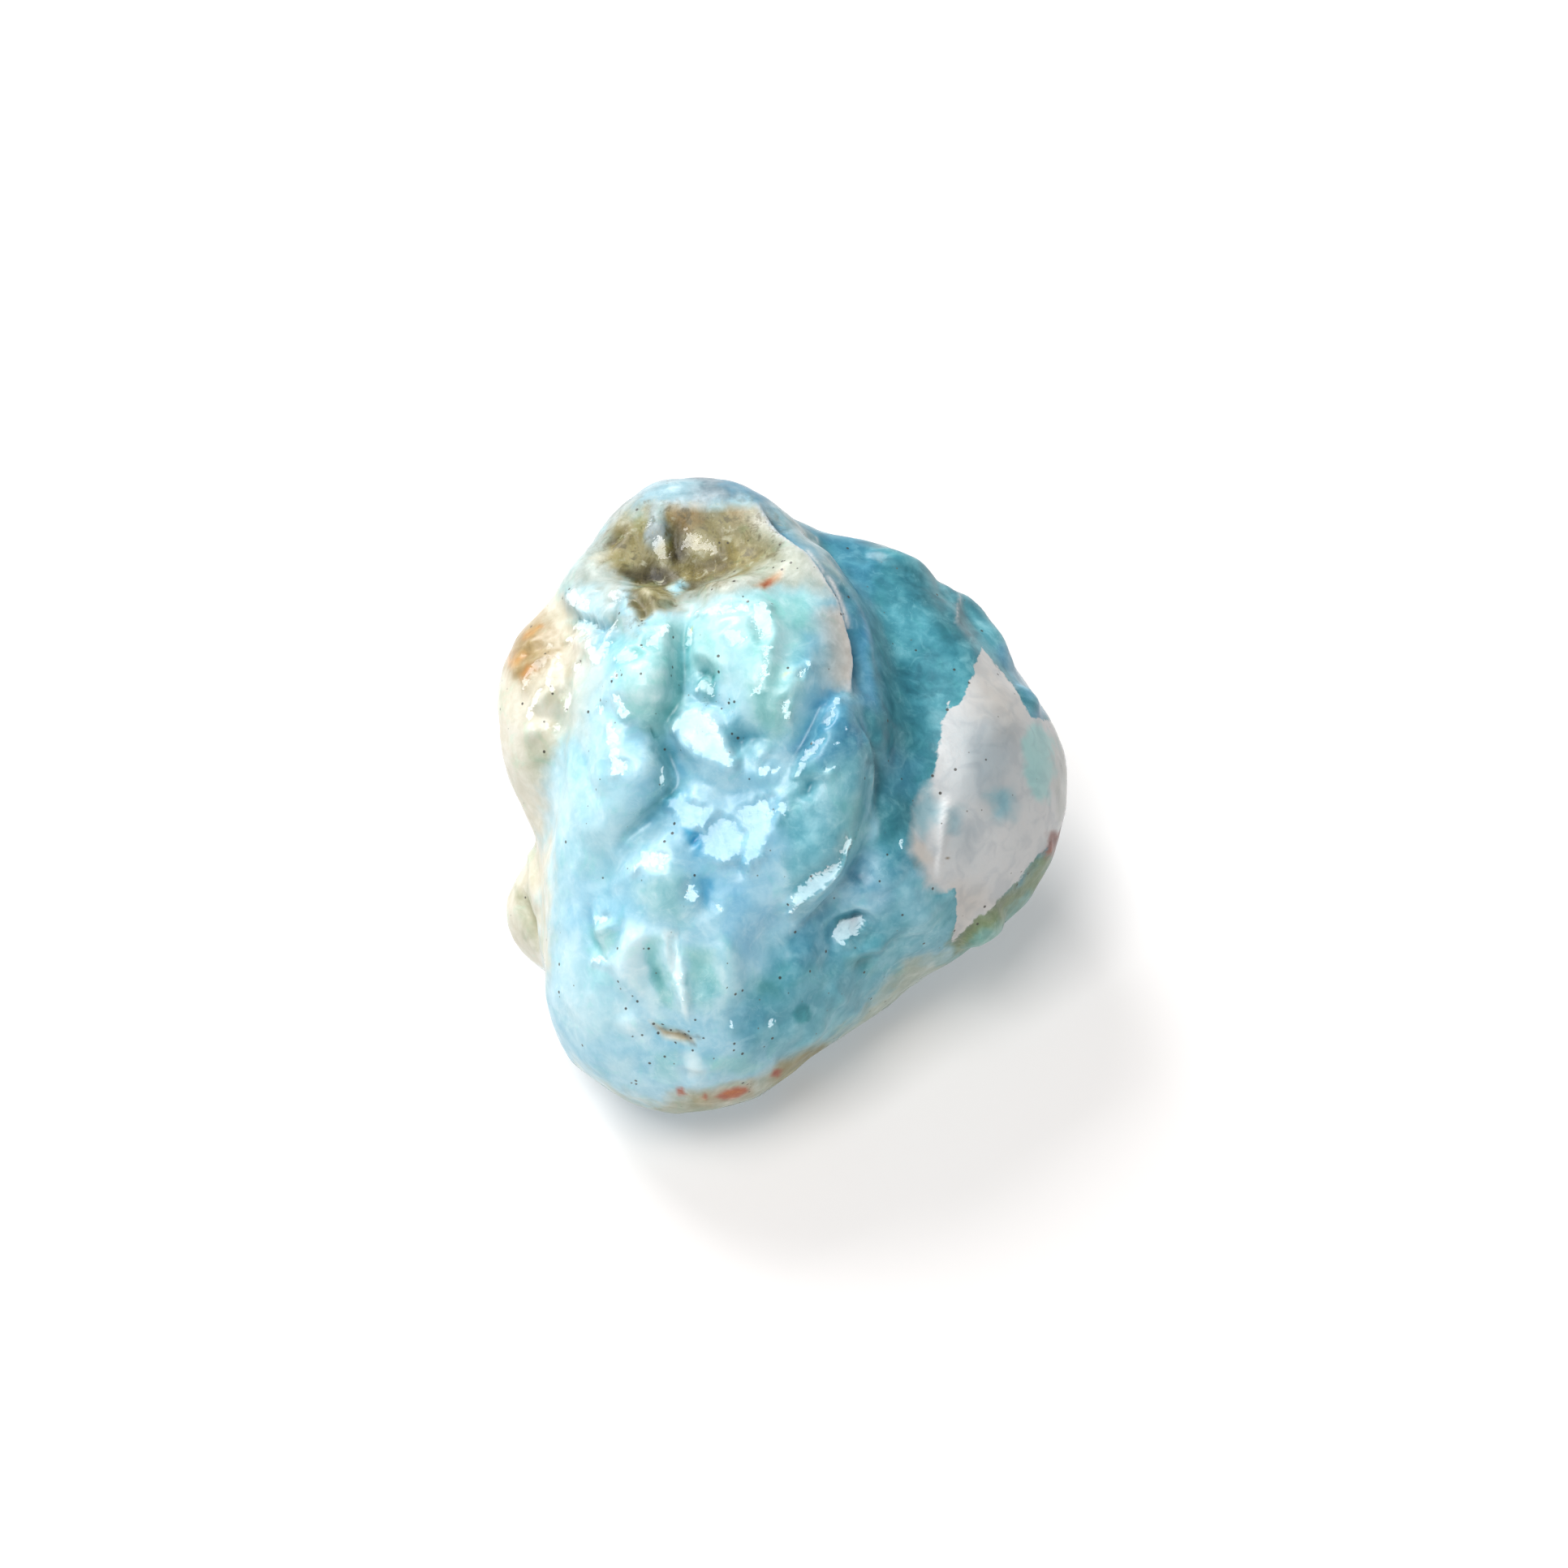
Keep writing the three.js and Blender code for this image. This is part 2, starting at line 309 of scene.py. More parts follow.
# The crown: a hollow of softer rock, sunk below a rim, with two tongues and a pebble in it.
carve((
    (-0.55, 1.3, [(-6.8, 13.6), (-5.4, 13), (-3.8, 12.9), (-1.8, 13), (-0.2, 13.4)]),
    (-0.4, 0.55, [(-7.3, 14.5), (-7, 14)]),
    (-0.45, 0.4, [(-3.9, 15.3), (-3.8, 14.3), (-3.4, 13.3)]),
    (-0.45, 0.45, [(-7, 12.8), (-5.8, 12.4), (-5, 12.6), (-4.2, 12.2), (-3.3, 12)]),
    (-0.3, 0.35, [(-3.4, 11.4), (-2.4, 11.9), (-1, 12)]),
    (-0.4, 0.35, [(-6.3, 11.6), (-5.7, 10.9), (-5.4, 10.2), (-5.8, 9.4)]),
    (-0.3, 0.28, [(-4.7, 10.6), (-4, 10.5), (-3.4, 10.8)]),
    (0.45, 0.55, [(-4.8, 15.8), (-4.7, 14.8), (-4.6, 13.8)]),
    (0.4, 0.6, [(-3.1, 14.4), (-2.2, 14.1), (-1.4, 13.8)]),
    (0.4, 0.42, [(-4.2, 11.4), (-3.3, 11.9)]),
    (0.3, 0.5, [(-5.6, 11.5), (-4.9, 11)]),
    (0.3, 0.6, [(-5.2, 16.2), (-3, 16.2), (-0.6, 16.6), (1, 16.4)]),
    (-0.25, 0.4, [(-5, 16.7), (-3.2, 16.9), (-1.6, 17.2)]),
    (0.35, 0.8, [(-3.6, 10.6), (-2.2, 11.3), (-0.4, 11.6), (1.2, 12.2)]),
    (-0.2, 0.6, [(0.2, 14.6), (1.2, 13.4), (2, 12.6)]),
    (-0.18, 0.35, [(-6.4, 15.2), (-5.8, 14.4), (-6, 13.6)]),
    (-0.18, 0.3, [(-0.6, 15.2), (0, 14.4), (-0.2, 13.6)]),
    (0.16, 0.35, [(0.6, 15.2), (0.8, 14.4), (1.4, 14.2)]),
))

# The ridge: an overlapping crest from the crown down the right of the front lobe. It climbs gently
# from the lobe and drops sharply to the flank.
ridge_line = [
    (0.5, 16.3), (0.95, 15.4), (1.4, 14.7), (2.2, 13.9), (3.1, 13.1), (3.65, 12.3), (4.15, 11.4),
    (4.6, 10.3), (5, 9.1), (5.35, 7.9), (5.6, 6.6), (5.8, 5.6),
]
relief += 0.70 * brush(ridge_line, 0.28, 1.5, taper=0.12)
relief -= 0.26 * brush([(x + 0.75, y) for x, y in ridge_line], 1.4, 0.35, taper=0.12)
relief += 0.20 * brush([(4.8, 11.5), (5.15, 10.4), (5.35, 9.5)], 0.16, taper=0.2)

# The front: two round lumps with a groove between them, a nose and a valley below.
carve((
    (-0.52, 0.32, 1.1, [(-3, 9.8), (-3.1, 8.6), (-3.15, 7.4), (-3.3, 6.2), (-3.6, 5.3), (-4.4, 4.4)]),
    (0.18, 0.6, 0.25, [(-2.7, 9.6), (-2.7, 8.4), (-2.8, 7.4)]),
    (-0.5, 0.5, [(-4.9, 3.7), (-5.2, 3.5)]),
    (-0.45, 0.42, [(-2.5, 6.75), (-1.8, 6.9), (-1.4, 6.3)]),
    (0.3, 0.4, [(-3, 7.6), (-2, 7.6), (-1.2, 7.1), (-0.9, 6.2)]),
    (0.42, 0.45, [(-2.4, 5.95), (-1.8, 5.9)]),
    (-0.3, 0.4, [(-3.2, 5.3), (-2, 5.2), (-1.1, 4.9), (-0.7, 4.2)]),
    (0.7, 0.85, [(-2.6, 3.9), (-2.3, 3.2), (-1.5, 2.5)]),
    (-0.32, 0.5, [(-0.7, 3.2), (0.2, 2.8)]),
    (-0.25, 0.45, [(-0.2, 3.5), (1.2, 3.2), (2.6, 3.4)]),
    (0.2, 0.8, [(0.5, 2.8), (1.4, 2.1)]),
    (-0.55, 0.9, 0.35, [
        (-4.9, 2.9), (-4.1, 1.9), (-3.75, 0.9), (-4.2, -0.2), (-5.2, -1.2), (-6.3, -2.2), (-7, -3.1)
    ]),
    (0.35, 1.1, [(-5.4, 7.4), (-5.2, 6), (-5.4, 5)]),
    (0.3, 0.9, [(-6, 3.2), (-5.4, 1.8), (-5.6, 0.4)]),
    (0.35, 0.6, [(0.6, 10), (1.15, 9.2), (1.2, 8), (1.1, 6.8), (0.8, 5.6)]),
    (0.3, 0.5, [(3.3, 7.2), (2.7, 6.1), (2.3, 5), (2.4, 4.2)]),
    (-0.22, 0.6, [(-0.4, 9.2), (-0.6, 7.6), (-0.4, 5.8), (0.2, 4.4)]),
    (-0.1, 0.5, [(2.3, 8.8), (2.1, 7), (1.6, 5.6)]),
    (-0.22, 0.45, [(-0.9, 9.2), (-0.5, 9)]),
    (0.2, 0.6, [(-2.4, 1.3), (0, 1.2), (2.2, 1.2)]),
    (-0.2, 0.6, [(-2.6, 0.1), (0, 0.1), (2.4, 0.2)]),
    (-0.26, 0.5, [(-2.8, -2.2), (-2.4, -2.6)]),
    (-0.35, 0.7, [(-0.9, -1.6), (-0.6, -3), (0.4, -4.4)]),
    (-0.24, 0.55, [(-2.4, -4.4), (-1.9, -5.4), (-2, -6.6)]),
    (0.35, 0.8, [(-5.2, -3.4), (-4.2, -4.4), (-3.2, -5.4)]),
    (0.18, 0.6, [(-9.4, 4), (-9.4, 1), (-8.8, -1.6), (-8.4, -4)]),
    (-0.22, 0.28, [(-9.1, 3.2), (-8.9, 2.2), (-8.5, 0.9), (-7.9, -0.4)]),
    (0.22, 0.4, [(-7.9, 3.4), (-7.6, 1.6), (-7.4, 0)]),
))

# The folded lobe on the right of the front, its crest, and the crease and bowl beneath it.
carve((
    (0.48, 1.3, 0.2, [(5.5, 5.3), (4.8, 4.8), (4.45, 4), (4.25, 3.3), (3.7, 2.5), (3.2, 1.8), (2.9, 1.1)]),
    (-0.3, 0.25, 0.8, [(5.2, 5.7), (4.3, 5), (3.9, 4), (3.3, 2.8), (2.5, 1.6)]),
    (-0.4, 0.35, [(4.1, 1.2), (3.65, 0.4), (3.5, -0.3)]),
    (0.22, 0.35, [(4.6, 1.5), (4.7, 0.9)]),
    (0.35, 0.7, 0.45, [(5.5, -2.8), (4.9, -3.9), (3.9, -5.2), (2.9, -6.8)]),
    (-0.42, 0.95, 0.35, [(7, -1.9), (6.5, -3.5), (5.6, -4.9), (4.5, -6.2), (3.3, -7.5), (2, -8.4)]),
    (-0.5, 0.8, 0.35, [(6.2, 5), (7, 3.2), (7.5, 1.6), (7.55, 0.2), (7.1, -1.4)]),
    (0.28, 0.25, [(6.5, 3.8), (7, 2.2), (7.05, 0.4)]),
    (-0.3, 1.05, [(5.9, -7.4), (6.7, -7.3)]),
    (0.32, 0.4, [(4.7, -7.3), (5.1, -6.5), (6, -6.1), (6.9, -6.1), (7.7, -6.8), (7.8, -7.6)]),
    (0.3, 0.5, [(4.9, -8.7), (6, -8.8), (7.2, -8.4), (8.6, -8.1)]),
    (-0.3, 0.5, [(6.2, -9.3), (7.3, -9.3)]),
    (-0.2, 0.35, [(7.6, -8.4), (8.8, -7.9), (9.8, -7.5)]),
    (-0.2, 0.8, [(6.2, -4.9), (7.4, -3.9)]),
))

# The foot: upright folds, a bump on the left, a knob at the toe and a stained crease.
carve((
    (0.42, 0.65, [(-5.9, -7.2), (-6.4, -8.6), (-6.4, -10), (-5.8, -11.2)]),
    (-0.32, 0.55, [(-5.1, -8), (-5, -9.4), (-4.6, -10.8)]),
    (0.32, 0.42, [(-4.1, -7.4), (-4, -9.2), (-3.5, -10.8), (-3.1, -12.4)]),
    (-0.36, 0.75, [(-2.4, -8.6), (-2.3, -10), (-2.3, -11.2)]),
    (0.18, 0.6, [(-0.9, -7.4), (-0.8, -9.2), (-0.7, -10.8), (-1.2, -12.2)]),
    (0.45, 0.7, [(-7.8, -7), (-7.6, -7.7)]),
    (-0.32, 0.35, [(-8.3, -5.4), (-8.6, -6.4), (-8.6, -7.4), (-8.2, -8.4), (-7.2, -8.8)]),
    (-0.26, 0.4, [(-6.8, -6.6), (-6.9, -7.8), (-7.2, -9.2)]),
    (0.25, 0.45, [(-7.9, -9.2), (-7, -8.9)]),
    (-0.4, 0.28, [(-5.2, -12.7), (-4.4, -13.1), (-3.4, -13.4), (-2.6, -13.9)]),
    (0.3, 0.6, [(-6.6, -12), (-5.8, -13.2)]),
    (0.4, 0.85, [(-2.5, -14.7), (-2.5, -15.3)]),
    (-0.34, 0.3, [(-3.3, -14.2), (-3.3, -15.2), (-2.8, -16)]),
    (-0.2, 0.7, [(0.4, -11.6), (1.4, -12.4), (2.6, -12.6)]),
    (0.25, 0.9, [(3, -13.4), (4.4, -12.6)]),
    (0.22, 0.35, [(2.4, -9), (3.6, -8.6), (4.4, -9.4)]),
    (0.2, 0.3, [(4.6, -10.4), (5.6, -11.4)]),
))

# The left side: wrinkled lumps on the shoulder, a seam beside it, and a seam in the left knob.
carve((
    (0.45, 0.8, [(-8.8, 10.7), (-8.3, 10.3)]),
    (0.45, 0.65, [(-8.4, 9), (-8, 9.2)]),
    (-0.4, 0.3, [(-9.6, 9.7), (-8.6, 9.7), (-7.8, 9.4), (-7.2, 10.2)]),
    (-0.3, 0.3, [(-7.3, 11.2), (-7.2, 10.2), (-7.6, 8.9)]),
    (0.35, 0.3, [(-9.6, 8.9), (-8.6, 8.2), (-8.1, 7.4)]),
    (0.35, 0.28, [(-7, 9.6), (-7.4, 8.6), (-8, 7.6)]),
    (0.35, 0.35, [(-6.9, 6.4), (-6.8, 5.4), (-6.5, 4.5)]),
    (0.25, 0.3, [(-7.8, 4.8), (-7.4, 6.4)]),
    (-0.3, 0.8, [(-9.9, 7.4), (-9.8, 6.2), (-10.2, 4.8), (-10.4, 3.2)]),
    (0.35, 0.4, [(-10.4, 7.2), (-10.6, 5.8), (-11.4, 4.9)]),
    (0.35, 0.35, [(-11.4, 7.6), (-11.6, 6.6), (-12.2, 5.8)]),
    (0.3, 0.35, [(-12, 8.6), (-11.4, 8.2)]),
    (-0.35, 0.35, [(-12.4, 7.6), (-11.8, 8.2), (-11, 8.4)]),
    (0.3, 0.45, [(-11.9, 4), (-11.4, 3.2)]),
    (0.25, 0.45, [(-7.2, 4.2), (-7, 2.8), (-6.8, 1.4)]),
    (-0.55, 0.4, [(-12.3, -5), (-12.1, -6.3), (-11.7, -7.3), (-11.4, -8.6)]),
    (0.3, 0.4, [(-11.8, -2.2), (-11.6, -4.4), (-11.4, -6.4)]),
))

# The right flank: long soft folds, a notch near the top, fuller shoulders and a bulge low on the right.
carve((
    (-0.3, 0.3, 0.6, [(6.4, 13.6), (7.5, 13.1), (8.8, 12.3), (10, 11.4)]),
    (0.6, 1.2, [(6.8, 13.4), (8.4, 13.1), (9.9, 12.4), (10.8, 11.8)]),
    (0.8, 1.25, [(10.8, 11.6), (12.2, 10.4), (13.2, 9.3), (14, 8.2), (14.8, 7)]),
    (0.4, 1, [(15.2, 6.2), (16.4, 4.6)]),
    (-0.12, 0.35, [(11.6, 11.2), (11.1, 10.8)]),
    (0.2, 0.25, 0.5, [(11.5, 11), (11.8, 10.4), (11.85, 9.4)]),
    (0.14, 0.6, [(7, 9.5), (7, 7.5), (6.9, 5.8)]),
    (-0.25, 0.8, [(8.6, 3.8), (8.4, 1.6), (8.5, -0.4)]),
    (0.22, 0.25, 0.5, [(11.5, -0.2), (11.1, -1.8), (10.7, -3.8)]),
    (0.3, 0.9, [(8.6, -4.8), (9.6, -6.2), (10.6, -6.8)]),
    (-0.25, 0.8, [(13.8, 0.2), (14.4, -1)]),
    (1, 1.3, [(12, -8), (13.2, -7.3), (14.4, -6.2)]),
    (0.35, 1, [(16.2, -4.2), (17.2, -2.4)]),
))

# Water leaves nothing quite flat: slow swells everywhere.
SWELLS = 0.13
relief += SWELLS * noise_at(skin_mm * 0.34, noise.fractal, 0.9, 2.0, 3)

# Round the back it is lumpier, with a few folds that wander across it.
behind = eased(-skin_facing, -0.05, 0.35)
lumps = noise_at(skin_mm * 0.17 + (3, 5, 2), noise.fractal, 0.8, 2.2, 3)
folds = np.clip(abs(noise_at(skin_mm * 0.13 + (9, 1, 4), noise.noise)) / 0.25, 0, 1)
relief += behind * (0.45 * lumps + 0.55 * folds - 0.35)
sculpted = skin + skin_looks * (relief * MM)[:, None]

# The crest leans out over the flank.
OVERHANG = 0.30 * MM
sculpted += np.array(across) * OVERHANG * brush(ridge_line, 0.28, 0.9, taper=0.12)[:, None]
sculpted = relaxed(sculpted, 1)
set_corners(stone_mesh, sculpted)

# How far each corner lies under or over the broad shape, for painted shade that darkens the creases and for
# paler crests.
BROAD_SHAPE = 60
sunk = ((relaxed(sculpted, BROAD_SHAPE) - sculpted) * normals_of(stone_mesh)).sum(axis=1) / MM

# Where the rock has cleaved, small flats all lie the same way, and shine together.
CLEAVAGE = np.array([-0.13, -0.48, 0.87])
noise.seed_set(1)
ragged = 0.20 * noise_at(skin_mm * 2.2, noise.noise_vector) + 0.16 * noise_at(skin_mm * 5, noise.noise_vector)
flat_x, flat_y, flat_facing = on_board(skin_mm + ragged, skin_looks)
polished = np.zeros(len(skin))


def sliver(x, y, length, turn):
    """The outline of a short narrow flat, turned so many degrees up from level."""
    along = np.array([cos(radians(turn)), sin(radians(turn))]) * length / 2
    side = np.array([-along[1], along[0]]) * 0.4
    ends = (along, side, -along, -side)
    return [(x + dx, y + dy) for dx, dy in ends]


GLINTS = (
    (-11.6, 7, 0.8, 65), (-11.25, 7.2, 0.8, 65), (-10.9, 7.4, 0.7, 65), (-10.2, 7.6, 0.8, 100),
    (-9.5, 8.6, 0.8, 150), (-11.3, 5.4, 1.2, 65), (-12, 6.2, 0.7, 60), (-10.5, 6.2, 0.8, 105),
    (-9.9, 5.2, 1.1, 75), (-11.8, 4.6, 0.6, 90), (-10.9, 3.9, 0.5, 80), (-10.4, 3.8, 0.5, 30),
    (-10.7, 8.4, 0.5, 60), (-9.2, 7.2, 0.7, 60), (-6.9, 6.5, 0.5, 20), (-7.9, 4.9, 0.6, 30),
    (-6.9, 2.3, 0.8, 85), (-7.2, 3.8, 0.6, 90), (5.3, 3.6, 0.3, 80), (5, 2.8, 0.3, 30),
    (4.7, 1.5, 0.6, 40), (-1.3, -6.2, 0.5, 110), (-4.2, -3.9, 0.4, 30), (1.5, -12.5, 0.6, 60),
)
FLATS = [
    # in the crown
    [(-3.5, 13.9), (-3.1, 14.7), (-2.4, 14.5), (-1.8, 14.1), (-1.3, 13.6), (-2.2, 13.7)],
    [(-5.2, 14.2), (-4.6, 14.35), (-4, 13.5), (-4.6, 13.4), (-5, 13.7)],
    [(-5.6, 15), (-5.2, 15.25), (-4.9, 15.1), (-5.3, 14.8)],
    # on the left shoulder
    [(-9.6, 10.8), (-9.2, 11.4), (-8.3, 10.9), (-8.3, 10.5), (-9.5, 10.5)],
    [(-9.4, 9.6), (-8.2, 9.7), (-8, 9.3), (-8.6, 9.15), (-9.3, 9.2)],
    [(-8.6, 8.7), (-8.2, 7.4), (-8, 7.3), (-7.9, 7.6), (-8.3, 8.7)],
    [(-8, 7.4), (-7.4, 8.3), (-6.9, 9.8), (-7.1, 9.8), (-7.7, 8.6), (-8.1, 7.7)],
    [(-7.3, 11.3), (-6.95, 11.4), (-6.9, 10.9), (-7.2, 10.8)],
    # on the round lumps
    [(-5.3, 8.3), (-4.9, 9), (-4.2, 9.2), (-4.6, 8.7), (-5, 8)],
    [(-7.1, 7.7), (-6.3, 8.1), (-5.6, 7.5), (-6.6, 7.3)],
    [(-2.4, 10.05), (-1.2, 10.35), (0.4, 10.4), (0.3, 10.05), (-1, 9.95)],
    [(0.6, 10.3), (1.3, 10.2), (1.3, 8.8), (0.9, 8.3), (0.65, 9.3)],
    [(-3, 9.3), (-2.8, 9.4), (-2.7, 8.2), (-3, 8.2)],
    [(-0.8, 8.7), (-0.4, 8.9), (0.1, 8.5), (0.1, 8.2), (-0.3, 8.2)],
    [(-2.6, 5.9), (-2.1, 6.25), (-1.6, 6.1), (-1.6, 5.5), (-2.1, 5.8)],
    [(2.75, 6.1), (3.25, 7), (3.4, 6.95), (2.9, 6.05)],
    [(2.05, 5.1), (2.35, 5.2), (2.5, 4.2), (2.2, 4.3)],
    [(1.1, 7.8), (1.4, 7.75), (1.4, 7.1), (1.15, 7.1)],
    [(1.05, 6.9), (1.3, 6.9), (1.2, 6.1), (0.95, 6.2)],
    [(0.7, 5.9), (1.05, 5.95), (1, 5.6), (0.7, 5.55)],
    # on the nose and the lobe to its left
    [
        (-3.7, 3.7), (-3, 4.4), (-2.4, 4.75), (-1.7, 4.4), (-1.1, 3.2), (-0.9, 2.4), (-0.4, 1.6),
        (-1.3, 1.9), (-2, 2.3), (-2.4, 2.7), (-2.6, 3.2), (-3.2, 3.5)
    ],
    [(-6.9, 5.5), (-6.6, 5.4), (-6.3, 4.3), (-6.6, 4.4)],
    [(-7.4, 4), (-6.9, 3.9), (-6.8, 3), (-7.2, 2.8)],
    [(-6.9, 1.9), (-6.3, 1.7), (-6.5, 1.1), (-6.9, 1.2)],
    [(-4.5, 1.4), (-4.35, 0.9), (-4.6, 0.3), (-4.75, 0.5)],
    # down the middle
    [(1.05, 1.55), (1.5, 1.6), (1.4, 1.1), (1.1, 1.2)],
    [(1.8, 1.65), (2.3, 1.7), (2.2, 1.3), (1.85, 1.4)],
    [(-4.1, -0.5), (-3.5, 0), (-3, -0.6), (-1.9, -0.7), (-2, -1.2), (-2.6, -1.7), (-3.2, -1.6), (-3.4, -0.9)],
    [(-2.3, -2.2), (-1.3, -1.3), (-0.6, -1.4), (0.1, -2.5), (-0.3, -3.3), (-1, -3.6), (-2, -3.2)],
    [(-0.2, -0.7), (1.4, -0.2), (1.7, -0.8), (1, -3.2), (0.4, -3.9), (0.2, -3.6), (0.5, -2)],
    [(2, -0.3), (2.4, -0.5), (2.3, -1), (2, -0.9)],
    [(-5.8, -4.3), (-5.2, -3.3), (-4.4, -3.1), (-4, -3.4), (-4.6, -3.95), (-5.3, -3.9)],
    [(-3, -4.8), (-2.5, -5.4), (-2.7, -5.8), (-3.2, -5.7)],
    # on the folded lobe and beside it
    [(5.45, 5.35), (5, 5.15), (4.55, 4.5), (4.4, 3.8), (4.55, 3.8), (4.75, 4.5), (5.1, 5)],
    [(4.25, 3.3), (3.7, 2.7), (3, 1.4), (2.9, 1.1), (3.15, 1.2), (3.9, 2.45), (4.35, 3.1)],
    [(5.5, -1.9), (5.8, -2.3), (5.5, -3.1), (5.1, -2.8)],
    [(5, -3.2), (4.8, -3.9), (3.9, -4.9), (3.3, -5.6), (2.75, -6.6), (2.8, -5.6), (3.4, -4.5), (4.3, -3.6)],
    [(5, -7.4), (5.4, -6.9), (6.6, -6.65), (6.8, -7.2), (6.4, -7.7), (5.7, -8.1), (5.1, -8.1)],
    [(8.6, -2.5), (8.8, -2.4), (8.9, -2.8), (8.7, -3)],
    # on the foot
    [(-8.3, -6.8), (-8, -6.5), (-7.5, -6.8), (-7.7, -7.1), (-8.2, -7.1)],
    [(-8.3, -9.1), (-7.9, -8.8), (-7.5, -9.1), (-7.9, -9.3)],
    [(-4.1, -7.7), (-3.6, -7.6), (-3.5, -9.2), (-3.1, -12), (-3.5, -10.8), (-3.9, -9.2)],
    [(-0.9, -12.7), (-0.7, -12.5), (-0.6, -12.9)],
    *(sliver(*place) for place in GLINTS),
]
for outline in FLATS * 2:  # the second cut evens out what a neighbour's cut has moved
    here = np.array(outline)
    after = np.roll(here, -1, axis=0)
    area = abs((here[:, 0] * after[:, 1] - here[:, 1] * after[:, 0]).sum()) / 2
    width = 2 * area / np.linalg.norm(after - here, axis=1).sum()
    blend = np.clip(0.9 * width, 0.2, 0.5)
    within = inside(flat_x, flat_y, outline)
    near = eased(within, -blend, 0.1) * (flat_facing > 0)
    polished = np.maximum(polished, eased(within, -0.25, 0.05) * (flat_facing > 0))
    middle = (sculpted * near[:, None]).sum(axis=0) / near.sum()
    reach = (middle - sculpted) @ CLEAVAGE
    deepest = (0.7 if width > 0.5 else 0.35) * MM  # a narrow flat is cut less deep
    lift = np.clip(reach, -deepest, deepest)
    sculpted += (0.95 * near * lift)[:, None] * CLEAVAGE
cleaved = polished * (1 - 0.45 * brush([(-3.9, -7.6), (-3.6, -9.6), (-3.2, -12.4)], 1.2, taper=0))
valley = brush([(-3, -1), (0.5, -2.5)], 2.5, taper=0)
nose = brush([(-3, 4), (-1.4, 2.4)], 1.2, taper=0)
polished *= 1 - 0.9 * valley - 0.62 * nose
sculpted = relaxed(sculpted, 1)
set_corners(stone_mesh, sculpted)
looks = normals_of(stone_mesh)

# Fine ripples, strongest on the wrinkled shoulder and in the softer rock of the crown.
wrinkled = np.clip(
    brush([(-11.6, 7.0), (-10.6, 5.2)], 2.4) + brush([(-8.4, 10.4), (-7.8, 8.4)], 1.6)
    + brush([(-5.6, 13.4), (-2.0, 13.2)], 2.4), 0, 1
)
RIPPLES = 0.020
ripple = RIPPLES * noise_at((sculpted / MM + 7) * 1.15, noise.fractal, 0.8, 2.1, 2)
ripple *= (1 + 2.2 * wrinkled) * (1 - 0.9 * polished)
sculpted = sculpted + looks * (ripple * MM)[:, None]
sculpted[:, 2] = np.maximum(sculpted[:, 2], 0)
set_corners(stone_mesh, sculpted)
looks = normals_of(stone_mesh)

stone = bpy.data.objects.new("raw_larimar", stone_mesh)
bpy.context.scene.collection.objects.link(stone)
for face in stone_mesh.polygons:
    face.use_smooth = True


# ---- The stone's colours ----
# The blue deepens to teal where the rock is purer, and clouds over to white; green-brown host rock
# shows in the crown, cream rind down the left side, and one white seam breaks out on the right flank.


def linear(red, green, blue):
    """A colour as it is given, 0 to 255, made linear."""
    share = np.array([red, green, blue]) / 255
    return np.where(share < 0.04, share / 12.92, ((share + 0.055) / 1.055) ** 2.4)


SKY = linear(150, 200, 218)
MILK = linear(192, 222, 228)
PALE_BLUE = linear(168, 211, 222)
MID_BLUE = linear(142, 198, 222)
BRIGHT_BLUE = linear(100, 172, 212)
TEAL = linear(146, 202, 200)
DARK_TEAL = linear(84, 154, 155)
SEA = linear(84, 160, 175)
DEEP_SEA = linear(54, 128, 143)
DEEP_TEAL = linear(24, 140, 152)
DEEP_BLUE = linear(72, 142, 171)
SLATE = linear(128, 150, 160)
OLIVE = linear(135, 123, 68)
DARK_OLIVE = linear(78, 70, 42)
PALE_OLIVE = linear(172, 176, 152)
LIP = linear(160, 167, 155)
CREAM = linear(211, 206, 186)
PINK_CREAM = linear(196, 187, 176)
TAN = linear(150, 125, 76)
CAP_BLUE = linear(106, 125, 135)
OCEAN = linear(58, 166, 206)
GREEN = linear(108, 128, 86)
RUST = linear(156, 60, 2)
ORANGE = linear(204, 134, 44)
YELLOW = linear(200, 200, 90)
WHITE = linear(200, 202, 202)


broad_looks = relaxed(looks, 30)
broad_looks /= np.linalg.norm(broad_looks, axis=1)[:, None]
places_mm = sculpted / MM
wander = noise_at(places_mm * 0.8, noise.noise_vector) + 0.5 * noise_at(places_mm * 2.3, noise.noise_vector)
front_x, front_y, front_facing = on_board(places_mm + 0.45 * wander, broad_looks)
in_front = eased(front_facing, -0.25, 0.05)
back_x, back_y, back_facing = on_board(places_mm + 0.9 * wander, broad_looks, pi, radians(25), far_off=True)

HOLLOW = [
    (-8, 13.2), (-7.2, 14.9), (-5.6, 15.9), (-3, 16), (0.6, 15.9), (2, 15.2), (1.8, 13.6), (0.2, 12.5),
    (-1.4, 11.9), (-3.2, 11.4), (-4.7, 10.6), (-5.8, 9.7), (-6.3, 11.2), (-5.9, 12.2), (-7.2, 12.8),
]
RIM_RUST = (RUST * 0.6, 0.9, 0.25, [(17.8, -1.8), (17.2, -2), (16.7, -3.1), (16.9, -3.6), (17.8, -2.8)])
paint = np.tile(SKY, (len(skin), 1))


def paint_patches(x, y, shown, patches):
    """Lays patches of colour one over another: colour, strength, blur, outline."""
    for colour, strength, blur, outline in patches:
        cover = strength * shown * eased(inside(x, y, outline), -blur, blur)
        paint[:] += (colour - paint) * cover[:, None]


def paint_lines(lines):
    """Lays strokes of colour one over another: colour, strength, width or widths, line."""
    for colour, strength, *widths, points in lines:
        paint[:] += (colour - paint) * (strength * brush(points, *widths, taper=0.15))[:, None]


